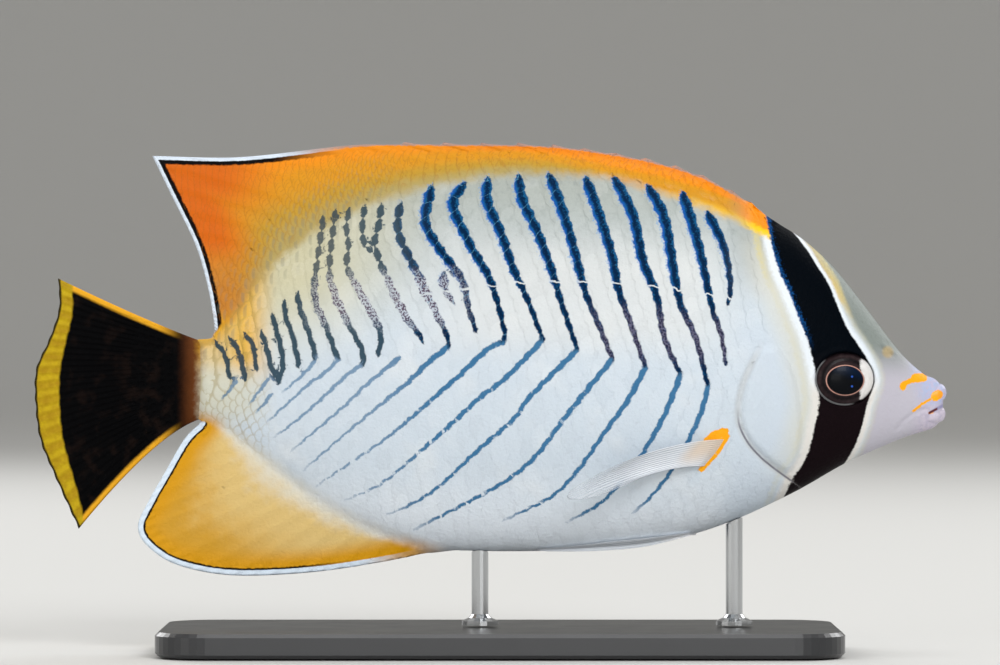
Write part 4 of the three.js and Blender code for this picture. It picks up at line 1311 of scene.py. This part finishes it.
dorsal_roots = fin_roots("dorsal_roots", dorsal_root, back, dorsal_tips, 0.9, 0.3)
dorsal_scales = grow_coat("dorsal_scales", dorsal_roots, skin, SKIN, paint, thickness=0.7, seed=7)
anal_roots = fin_roots("anal_roots", anal_root, belly, anal_tips, 0.85, 0.3)
anal_scales = grow_coat("anal_scales", anal_roots, skin, SKIN, paint, thickness=0.6, seed=9)

# %% [markdown]
# The other fins are thin fans of jointed rays with clear skin between. Each is a closed plate whose middle
# surface is given by a ray number t and a share s of the way to the tip, with a ridge along every ray. Soft
# rays fork halfway out, so the ridges double there.

# %% Building a fan of rays
def fan(name, line, half, rays, per_ray=8, rows=60, sunk=0.0, ridge_height=0.15):
    """A closed plate from line(t, s), the middle surface, and half(t, s), half its thickness in y."""
    across, outwards = np.linspace(0, 1, (rays - 1) * per_ray + 1), np.linspace(-sunk, 1, rows)
    t, s = np.meshgrid(across, outwards, indexing="ij")
    x, y, z = line(t, s)
    phase = t * (rays - 1)
    wave = mix(np.cos(2 * np.pi * phase), np.cos(4 * np.pi * phase), ease(s, 0.45, 0.6))
    thick = half(t, s) + ridge_height * (0.5 + 0.5 * wave) ** 2 * ease(s, 0, 0.15) * (1 - 0.5 * s)
    i, j = np.meshgrid(np.arange(t.shape[0]), np.arange(t.shape[1]), indexing="ij")
    inwards = np.minimum(np.minimum(i, t.shape[0] - 1 - i), np.minimum(j, t.shape[1] - 1 - j))
    thick = thick * np.sqrt(1 - (1 - np.clip(inwards / 2, 0, 1)) ** 2)
    net = np.arange(t.size).reshape(t.shape)
    quads = np.stack([net[:-1, :-1], net[1:, :-1], net[1:, 1:], net[:-1, 1:]], -1).reshape(-1, 4)
    vertices = [np.stack([x, y + side * thick, z], -1).reshape(-1, 3) for side in (1, -1)]
    piece = make_object(name, np.vstack(vertices), quads.tolist() + (quads[:, ::-1] + t.size).tolist())
    both = [np.tile(v.ravel(), 2) for v in (phase, s, np.ones_like(s))]
    store(piece.data, "ray", both)
    close_outwards(piece)
    return piece


# %% [markdown]
# The tail fin takes over from the flat stalk, and its root dips under the skin. Its 17 rays spread from there
# to the rear edge.

# %% The tail fin
TAIL_ROOT = [(-49.6, 51.2), (-49.2, 38.3)]
TAIL_BEND = [(-59, 54.7), (-56.5, 36)]
TAIL_EDGE = [
    (0, -72.8, 61.4), (0.12, -72.7, 56.4), (0.25, -74.3, 51.4), (0.38, -76.4, 46.6), (0.5, -76.6, 41.6),
    (0.65, -75.8, 35), (0.8, -73.4, 29), (0.92, -70.9, 23.4), (1, -69.4, 20.2)]
TAIL_RAYS = 17
YELLOW_INNER = smooth_line([
    (-70.4, 62.5), (-70.4, 55.7), (-71.4, 51.3), (-72.5, 45.3), (-72.2, 36.6), (-71.4, 32.8), (-69.1, 24.6),
    (-68.2, 19.5)], 50)


def tail_place(t, s):
    """Rays that leave the stalk towards a bend and then spread to the edge."""
    foot, bend = (
        np.stack([mix(pair[0][k], pair[1][k], t) for k in range(2)], -1) for pair in (TAIL_ROOT, TAIL_BEND))
    tip = edge_at(t, TAIL_EDGE)
    ragged = 1 + 0.002 * np.cos(2 * np.pi * t * (TAIL_RAYS - 1)) * ease(s, 0.8, 1)
    s = (s * ragged)[..., None]
    inner = np.maximum(s, 0)
    place = (1 - inner) ** 2 * foot + 2 * inner * (1 - inner) * bend + inner**2 * tip
    sunk = np.minimum(s, 0)
    return place - sunk * [20.0, 0.0] + np.stack([np.zeros_like(t), mix(0.8, -0.8, t)], -1) * sunk * 8


def tail_line(t, s):
    place = tail_place(t, s)
    return place[..., 0], 0.0 * s, place[..., 1]


def tail_half(t, s):
    """Thick and rounded like the stalk at the root, thin and flat further out."""
    flank = (1 - np.abs(2 * t - 1) ** FULLNESS) ** 0.6
    return mix(0.26, 2.3, (1 - np.maximum(s, 0)) ** 2.2) * mix(1, flank, ease(s, 0.28, 0.02))


def paint_tail(mesh):
    places = points_of(mesh)
    x, z = places[:, 0], places[:, 2]
    t, whole = np.linspace(0, 1, 120), np.linspace(0, 1, 60)
    rear, _, _ = nearest(x, z, edge_at(t, TAIL_EDGE))
    sides = [nearest(x, z, tail_place(np.full(60, k), whole))[0] for k in (0.0, 1.0)]
    band, side, _ = nearest(x, z, YELLOW_INNER)
    store(mesh, "tail", (-band * side, rear, np.minimum(*sides)))


tail_fin = fan("tail_fin", tail_line, tail_half, TAIL_RAYS, sunk=0.12, rows=76, ridge_height=0.2)
paint_tail(tail_fin.data)

# %% [markdown]
# The fin is velvet black, with a bright yellow rear edge and golden upper and lower edges. Its root has the
# brown of the stalk, so that the two meet in one colour.

# %% The tail's colour
def tail_finish():
    f = Finish("tail_skin")
    band, rear, margin = f.stored("tail")
    phase, along, _ = f.stored("ray")
    streaks = (phase * (2 * math.pi)).sin() * 0.1 + (f.noise(1.2, 3.0) - 0.5) * 0.6
    stalk = f.blend(shade(200, 197, 168), shade(222, 168, 22), f.z.ease(44, 50.5))
    colour = f.blend(stalk, shade(98, 54, 24), tail_root_brown(f))
    colour = f.blend(colour, shade(3, 3, 4), (f.x + streaks).ease(-49.6, -53.4))
    brownish = (f.noise(0.35, 3.0) - 0.5).ease(0, 0.2)
    colour = f.blend(colour, shade(28, 18, 14), brownish * f.x.ease(-51, -54) * 0.5)
    edge = (margin + streaks * 0.3).ease(1.15, 0.55) * f.x.ease(-52, -57)
    colour = f.blend(colour, shade(222, 160, 26), edge)
    yellow = f.blend(shade(190, 162, 10), shade(160, 126, 4), (streaks + 0.1).ease(-0.2, 0.35))
    colour = f.blend(colour, yellow, (band + streaks * 0.5).ease(-0.15, 0.35))
    colour = f.blend(colour, shade(58, 50, 20), (rear + streaks * 0.15).ease(0.5, 0.25))
    wave = (phase * (4 * math.pi)).sin() * 0.5 + 0.5
    normal = f.relief(f.noise(2.5, 4.0, 0.6), 0.1)
    normal = f.relief(wave * along.ease(0.05, 0.3), 0.12, normal)
    bright = f.node("RGBToBW", {}, [colour]).out().ease(0.0, 0.3)
    f.set(Base_Color=colour, Normal=normal, Roughness=0.6, Specular_IOR_Level=bright * 0.14 + 0.03)
    return f.material


TAIL = tail_finish()
tail_fin.data.materials.append(TAIL)

# %% The scales of the tail's root
def tail_roots():
    places = []
    for row, s in enumerate(np.arange(0.03, 0.5, 0.036)):
        for t in np.linspace(0.03, 0.97, 16) + 0.03 * (row % 2):
            if t > 0.98:
                continue
            x, z = (float(v) for v in tail_place(np.array(t), np.array(s)))
            size = mix(2.0, 1.1, s * 2) * MM
            places += [(x, z, side, size, HEADWARD) for side in (1, -1)]
    return root_points("tail_roots", tail_fin, places)


tail_scales = grow_coat("tail_scales", tail_roots(), tail_fin, TAIL, paint_tail, thickness=0.45, seed=11)

# %% [markdown]
# The breast fins are clear fans that stand off the flank, arched and a little wavy. The hip fins are folded
# to narrow white blades under the belly. The fan function makes both, from middle surfaces of their own.

# %% The breast fins and the hip fins
PECTORAL_ROOT = [(35.6, 35.1), (32.6, 30.6)]
PECTORAL_EDGE = [(0, 16, 29.7), (0.3, 11.6, 27), (0.6, 11.2, 25.5), (0.8, 14.5, 25.6), (1, 19.5, 27.2)]
PECTORAL_RAYS = 14
pelvic_low = curve([(0, 19.1), (0.3, 17.3), (0.6, 16.6), (0.9, 16.5), (1, 16.7)])
pelvic_high = curve([(0, 19.7), (0.2, 19), (0.5, 18.2), (0.8, 17.3), (1, 16.9)])
PELVIC_RAYS = 6


def pectoral_line(side):
    """The middle surface of a breast fin, which lifts off the flank as it goes out."""
    def line(t, s):
        foot = [mix(PECTORAL_ROOT[0][k], PECTORAL_ROOT[1][k], t) for k in range(2)]
        tip = edge_at(t, PECTORAL_EDGE)
        inner = np.maximum(s, 0)
        x = mix(foot[0], tip[..., 0], s)
        z = mix(foot[1], tip[..., 1], s) + 4 * s * (1 - s) * mix(1.1, 0.9, t)
        out = np.where(s < 0, s * 16, 0.3 + inner**0.8 * mix(6.5, 4, t))
        flutter = 0.12 * np.sin(2 * np.pi * t * (PECTORAL_RAYS - 1)) * inner
        return x, side * (flesh_half(foot[0], foot[1]) + out + flutter), z
    return line


def pelvic_line(side):
    """The middle surface of a hip fin, which lies close along the belly."""
    def line(t, s):
        along = np.maximum(s, 0)
        x = mix(31.5, 5.9, along)
        z = mix(pelvic_low(along), pelvic_high(along), t)
        out = np.where(s < 0, -1.2, 0.3 + 0.6 * ease(along, 0, 0.3))
        return x - np.minimum(s, 0) * 4, side * (np.maximum(flesh_half(x, z), 1.4) + out), z
    return line


def pectoral_half(t, s):
    return mix(0.12, 0.75, (1 - np.maximum(s, 0)) ** 3)


def pelvic_half(t, s):
    return mix(0.12, 0.4, (1 - np.maximum(s, 0)) ** 2)


paired = {}
for side, word in ((1, "left"), (-1, "right")):
    paired["pectoral_fin_" + word] = fan(
        "pectoral_" + word, pectoral_line(side), pectoral_half, PECTORAL_RAYS, per_ray=6, rows=44, sunk=0.1,
        ridge_height=0.06)
    paired["pelvic_fin_" + word] = fan(
        "pelvic_" + word, pelvic_line(side), pelvic_half, PELVIC_RAYS, per_ray=7, rows=44, sunk=0.2,
        ridge_height=0.04)
print("paired fins:", ", ".join(paired))


def web_finish(name, rays, root_colour, clear):
    """White rays with clearer skin between them."""
    f = Finish(name)
    phase, along, _ = f.stored("ray")
    wave = (phase * (2 * math.pi) + math.pi / 2).sin() * 0.5 + 0.5
    colour = f.blend(shade(206, 214, 224), shade(228, 232, 238), wave)
    flush = along.ease(0.26, 0.1) * (phase / (rays - 1.0)).ease(1.1, 0.3)
    colour = f.blend(colour, root_colour, flush)
    thinned = 1 - along.ease(0.45, 0.95) * clear
    alpha = (thinned + wave * 0.1 - 0.1).max(along.ease(0.3, 0.1))
    normal = f.relief(wave, 0.05)
    f.set(Base_Color=colour, Alpha=alpha, Normal=normal, Roughness=0.4, Coat_Weight=0.15, Coat_Roughness=0.2)
    return f.material


PECTORAL_WEB = web_finish("breast_fin_skin", PECTORAL_RAYS, shade(222, 206, 190), 0.75)
PELVIC_WEB = web_finish("hip_fin_skin", PELVIC_RAYS, shade(236, 238, 242), 0.12)
for node, piece in paired.items():
    piece.data.materials.append(PECTORAL_WEB if "pectoral" in node else PELVIC_WEB)

# %% [markdown]
# The mouth is two soft rolls that meet at the corners of the jaw. Each is a tube swept round the front of the
# snout, thickest in the middle.

# %% The lips
def ring_faces(turns, around):
    """Quads between rings of vertices that each close on themselves."""
    net = np.arange(turns * around).reshape(turns, around)
    after = np.roll(net, -1, axis=1)
    return net, np.stack([net[:-1], net[1:], after[1:], after[:-1]], -1).reshape(-1, 4).tolist()


MOUTH_CORNER = (69.4, 1.25)
LIPS = {
    "upper_lip": {"x": 72.4, "z": 42.6, "corner_z": 41.6, "deep": 1.2, "tall": 1.5},
    "lower_lip": {"x": 72.25, "z": 39.1, "corner_z": 38.6, "deep": 1.2, "tall": 1.4},
}


def lip(name, form):
    turns, around = 57, 28
    turn = np.linspace(-np.pi / 2, np.pi / 2, turns) * 0.999
    front = np.cos(turn)
    size = mix(0.62, 1, np.sqrt(front))
    x = mix(MOUTH_CORNER[0], form["x"], front**0.7)
    y = MOUTH_CORNER[1] * np.sin(turn)
    z = mix(form["corner_z"], form["z"], front)
    angle = 2 * np.pi * np.arange(around) / around
    crease = 1 - 0.05 * (0.5 + 0.5 * np.cos(17 * turn))[:, None] * np.maximum(np.cos(angle), 0)
    reach = np.cos(angle) * form["deep"] * size[:, None] * crease
    px = x[:, None] + reach * front[:, None]
    py = y[:, None] + reach * np.sin(turn)[:, None]
    pz = z[:, None] + np.sin(angle) * form["tall"] * size[:, None] * crease
    net, quads = ring_faces(turns, around)
    caps = [net[0].tolist(), net[-1][::-1].tolist()]
    piece = make_object(name, np.stack([px, py, pz], -1).reshape(-1, 3), quads + caps)
    close_outwards(piece)
    paint(piece.data)
    return piece


def lip_finish():
    f = Finish("lip_skin")
    _, _, strokes = f.stored("bar")
    colour = muzzle_colour(f, shade(186, 182, 196))
    # Painted shade where the two lips meet at the mouth's gap, in the red-purple of the mouth's inside.
    inner = (f.z - 40.8).abs().ease(0.5, 0.2)
    colour = f.blend(colour, shade(150, 110, 128), inner * 0.6)
    colour = f.blend(colour, shade(246, 158, 16), (strokes + (f.noise(1.6, 3.0) - 0.5) * 0.3).ease(0.1, -0.1))
    normal = f.relief(f.noise(3.0, 4.0), 0.08)
    f.set(Base_Color=colour, Normal=normal, Roughness=0.45, Coat_Weight=0.15, Coat_Roughness=0.2)
    return f.material


LIP = lip_finish()
lips = {name: lip(name + "_soft", form) for name, form in LIPS.items()}
for piece in lips.values():
    piece.data.materials.append(LIP)
print("lips:", ", ".join(lips))

# %% [markdown]
# The eye is a flattened ball that follows the slope of the head. Its colours are rings, so its material works
# from the distance to the eye's centre. A clear coat over them gives the wet highlight, and two small blue
# glints are painted on the pupil as painted highlights.

# %% The eyes
EYE_BALL = (5.45, 3.2, 4.8)  # half axes along x, y and z
EYE_Y = 5.4
EYE_TURN = 0.24


def eyeball(name, side):
    rings, around = 44, 72
    polar = np.linspace(0, np.pi * 0.72, rings)[:, None]
    angle = (2 * np.pi * np.arange(around) / around)[None, :]
    share = np.sin(polar)
    dent = -0.05 * np.exp(-(((share - 0.62) / 0.05) ** 2)) * (polar < np.pi / 2)
    x = EYE_BALL[0] * share * np.cos(angle)
    y = (EYE_BALL[1] * np.cos(polar) + dent * EYE_BALL[1]) * np.ones_like(angle)
    z = EYE_BALL[2] * share * np.sin(angle)
    cos, sin = math.cos(EYE_TURN), math.sin(EYE_TURN)
    px = EYE[0] - 0.4 + x * cos + y * sin
    py = side * (EYE_Y + y * cos - x * sin)
    net, quads = ring_faces(rings, around)
    vertices = np.stack([px, py, EYE[1] + z], -1).reshape(-1, 3)
    piece = make_object(name, vertices, quads + [net[-1].tolist()])
    close_outwards(piece)
    return piece


def eye_finish():
    f = Finish("wet_eye")
    x, z = f.x - EYE[0], f.z - (EYE[1] - 0.2)
    iris = ((x / 5.05) ** 2 + ((z - 0.2) / 4.4) ** 2) ** 0.5
    pupil = ((x / 3.0) ** 2 + (z / 2.35) ** 2) ** 0.5
    grain = f.noise(1.5, 3.0) - 0.5
    rings = (iris * 24).sin() * 0.5 + 0.5
    colour = f.blend(shade(14, 9, 12), shade(64, 48, 50), rings * 0.4 + grain * 0.7)
    cream = (pupil + grain * 0.1).ease(1.02, 1.1) * (x + grain * 0.8).ease(2.3, 2.8) * iris.ease(0.98, 0.92)
    cream = cream * (z - 0.1 + grain).abs().ease(3.5, 3.0)
    colour = f.blend(colour, shade(228, 226, 224), cream * (0.92 + grain * 0.3))
    pale = (iris - 0.96).abs().ease(0.05, 0.015) * (-z - x * 1.5).ease(1.0, 3.0)
    colour = f.blend(colour, shade(176, 178, 180), pale * 0.45)
    ring = (pupil - 1.04).abs().ease(0.048, 0.015)
    colour = f.blend(colour, shade(194, 146, 132), ring * (1 - cream * 0.4) * 0.85)
    black = f.blend(shade(1, 3, 7), shade(4, 22, 44), (z + x * 0.3).ease(0.0, 2.2) * 0.9)
    # Painted highlights: two small blue glints painted on the pupil.
    for height in (0.6, -1.0):
        glint = ((x - 1.1) ** 2 + (z - height) ** 2).ease(0.05, 0.01)
        black = f.blend(black, shade(50, 96, 200), glint * 0.8)
    colour = f.blend(colour, black, pupil.ease(1.0, 0.95))
    f.set(Base_Color=colour, Roughness=0.35, Specular_IOR_Level=0.08)
    f.set(Coat_Weight=0.06, Coat_Roughness=0.03, Coat_IOR=1.33)
    return f.material


EYE_SKIN = eye_finish()
eyes = {}
for side, word in ((1, "left"), (-1, "right")):
    eyes["eye_" + word] = eyeball("eyeball_" + word, side)
    eyes["eye_" + word].data.materials.append(EYE_SKIN)
print("eyes:", ", ".join(eyes))

# %% [markdown]
# The stand is as the construction has it: a small black base and two bright rods. Only its finish is given
# here.

# %% The stand
def base_finish():
    f = Finish("satin_base")
    wear = f.noise(0.15, 3.0)
    f.set(Base_Color=shade(34, 35, 38), Roughness=0.32 + (wear - 0.5) * 0.12)
    f.set(Coat_Weight=0.25, Coat_Roughness=0.2)
    return f.material


def rod_finish():
    f = Finish("polished_rod")
    f.set(Base_Color=shade(196, 198, 200), Metallic=1.0, Roughness=0.22)
    return f.material


BASE, ROD = base_finish(), rod_finish()
for name, finish in (("stand_base", BASE), ("stand_rod_front", ROD), ("stand_rod_rear", ROD)):
    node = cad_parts[name]
    node.data.materials.clear()
    node.data.materials.append(finish)

# %% [markdown]
# Each piece is now hung on the fish's body, and the construction nodes that it stands for are hidden.
# The skin alone stands for all the flesh, which is why no seam shows between head, body and fins.

# %% Dressing the construction
bpy.data.objects.remove(SCALE)
FLESH = ("head", "trunk", "tail_stalk", "gill_cover_left", "gill_cover_right", "dorsal_fin", "anal_fin")
pieces = [(skin, "skin", FLESH), (tail_fin, "tail", ("tail_fin",))]
pieces += [(coat, "skin", ()) for coat in (body_scales, *head_scales, dorsal_scales, anal_scales)]
pieces += [(tail_scales, "tail", ())]
pieces += [(piece, "web", (node,)) for node, piece in paired.items()]
pieces += [(piece, "lip", (node,)) for node, piece in lips.items()]
pieces += [(piece, "eye", (node,)) for node, piece in eyes.items()]
for piece, slot, nodes in pieces:
    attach(piece, "root")
    if nodes:
        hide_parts(*nodes)
print("pieces:", len(pieces))

# %% [markdown]
# The studio is a wide pale floor that rises far away, so that the background is even from every side. A large
# soft key light, a low one, a weaker fill and one from above light the side that the camera sees. Two more
# light the far side.

# %% The studio
FLOOR_REACH = 3.0  # the floor is flat this far out, in metres, and then rises
WALL_TOP = 4.5


def bowl():
    """The floor and its rising rim, as rings round the middle."""
    reach = np.concatenate([np.linspace(0.3, 2 * FLOOR_REACH, 39), [2 * FLOOR_REACH + 0.2]])
    height = np.where(reach > FLOOR_REACH, 0.25 * (reach - FLOOR_REACH) ** 2, 0)
    height[-1] = WALL_TOP
    around = 96
    turn = 2 * np.pi * np.arange(around) / around
    vertices = [(0, 0, -0.3)]
    for r, z in zip(reach, height):
        vertices += [(r * math.cos(a) / MM, r * math.sin(a) / MM, z / MM - 0.3) for a in turn]
    faces = [[0, 1 + i, 1 + (i + 1) % around] for i in range(around)]
    for k in range(len(reach) - 1):
        low, high = 1 + k * around, 1 + (k + 1) * around
        faces += [[low + (i + 1) % around, low + i, high + i, high + (i + 1) % around] for i in range(around)]
    return make_object("studio", vertices, faces)


def studio_finish():
    f = Finish("pale_paper")
    f.set(Base_Color=shade(206, 206, 204), Roughness=0.9)
    return f.material


studio = bowl()
studio.data.materials.append(studio_finish())


def area_light(name, place, target, width, watts, colour=(1, 1, 1)):
    light = bpy.data.lights.new(name, "AREA")
    light.size = width
    light.energy = watts
    light.color = colour
    lamp = bpy.data.objects.new(name, light)
    lamp.location = place
    lamp.rotation_euler = (Vector(target) - Vector(place)).to_track_quat("-Z", "Y").to_euler()
    bpy.context.scene.collection.objects.link(lamp)


MIDDLE = (0, 0, 0.048)
area_light("key", (0.4, -1.0, 0.7), MIDDLE, 0.45, 8.0)
area_light("low", (0.1, -1.2, 0.05), MIDDLE, 0.6, 4.0)
area_light("fill", (-0.9, -0.8, 0.35), MIDDLE, 0.7, 3.0, (1, 0.98, 0.95))
area_light("top", (0, 0.1, 1.1), MIDDLE, 0.6, 3.0)
area_light("back_left", (-0.7, 0.9, 0.6), MIDDLE, 0.6, 5.0)
area_light("back_right", (0.8, 0.8, 0.7), MIDDLE, 0.6, 5.0)
world = bpy.data.worlds.new("room")
world.use_nodes = True
world.node_tree.nodes["Background"].inputs[0].default_value = (1.0, 0.985, 0.96, 1)
world.node_tree.nodes["Background"].inputs[1].default_value = 0.55
bpy.context.scene.world = world

# %% [markdown]
# The photo was taken square to the side of the fish, so the camera stands level with the middle of the fish
# and looks straight at it.

# %% The camera
camera_data = bpy.data.cameras.new("camera")
camera_data.sensor_width = 36
camera_data.lens = 196.56
camera_data.clip_start = 0.01
camera = bpy.data.objects.new("camera", camera_data)
camera.location = (0, -0.9, 0.0525)
camera.rotation_euler = (math.pi / 2, 0, 0)
bpy.context.scene.collection.objects.link(camera)
bpy.context.scene.camera = camera
bpy.context.scene.view_settings.view_transform = "Standard"
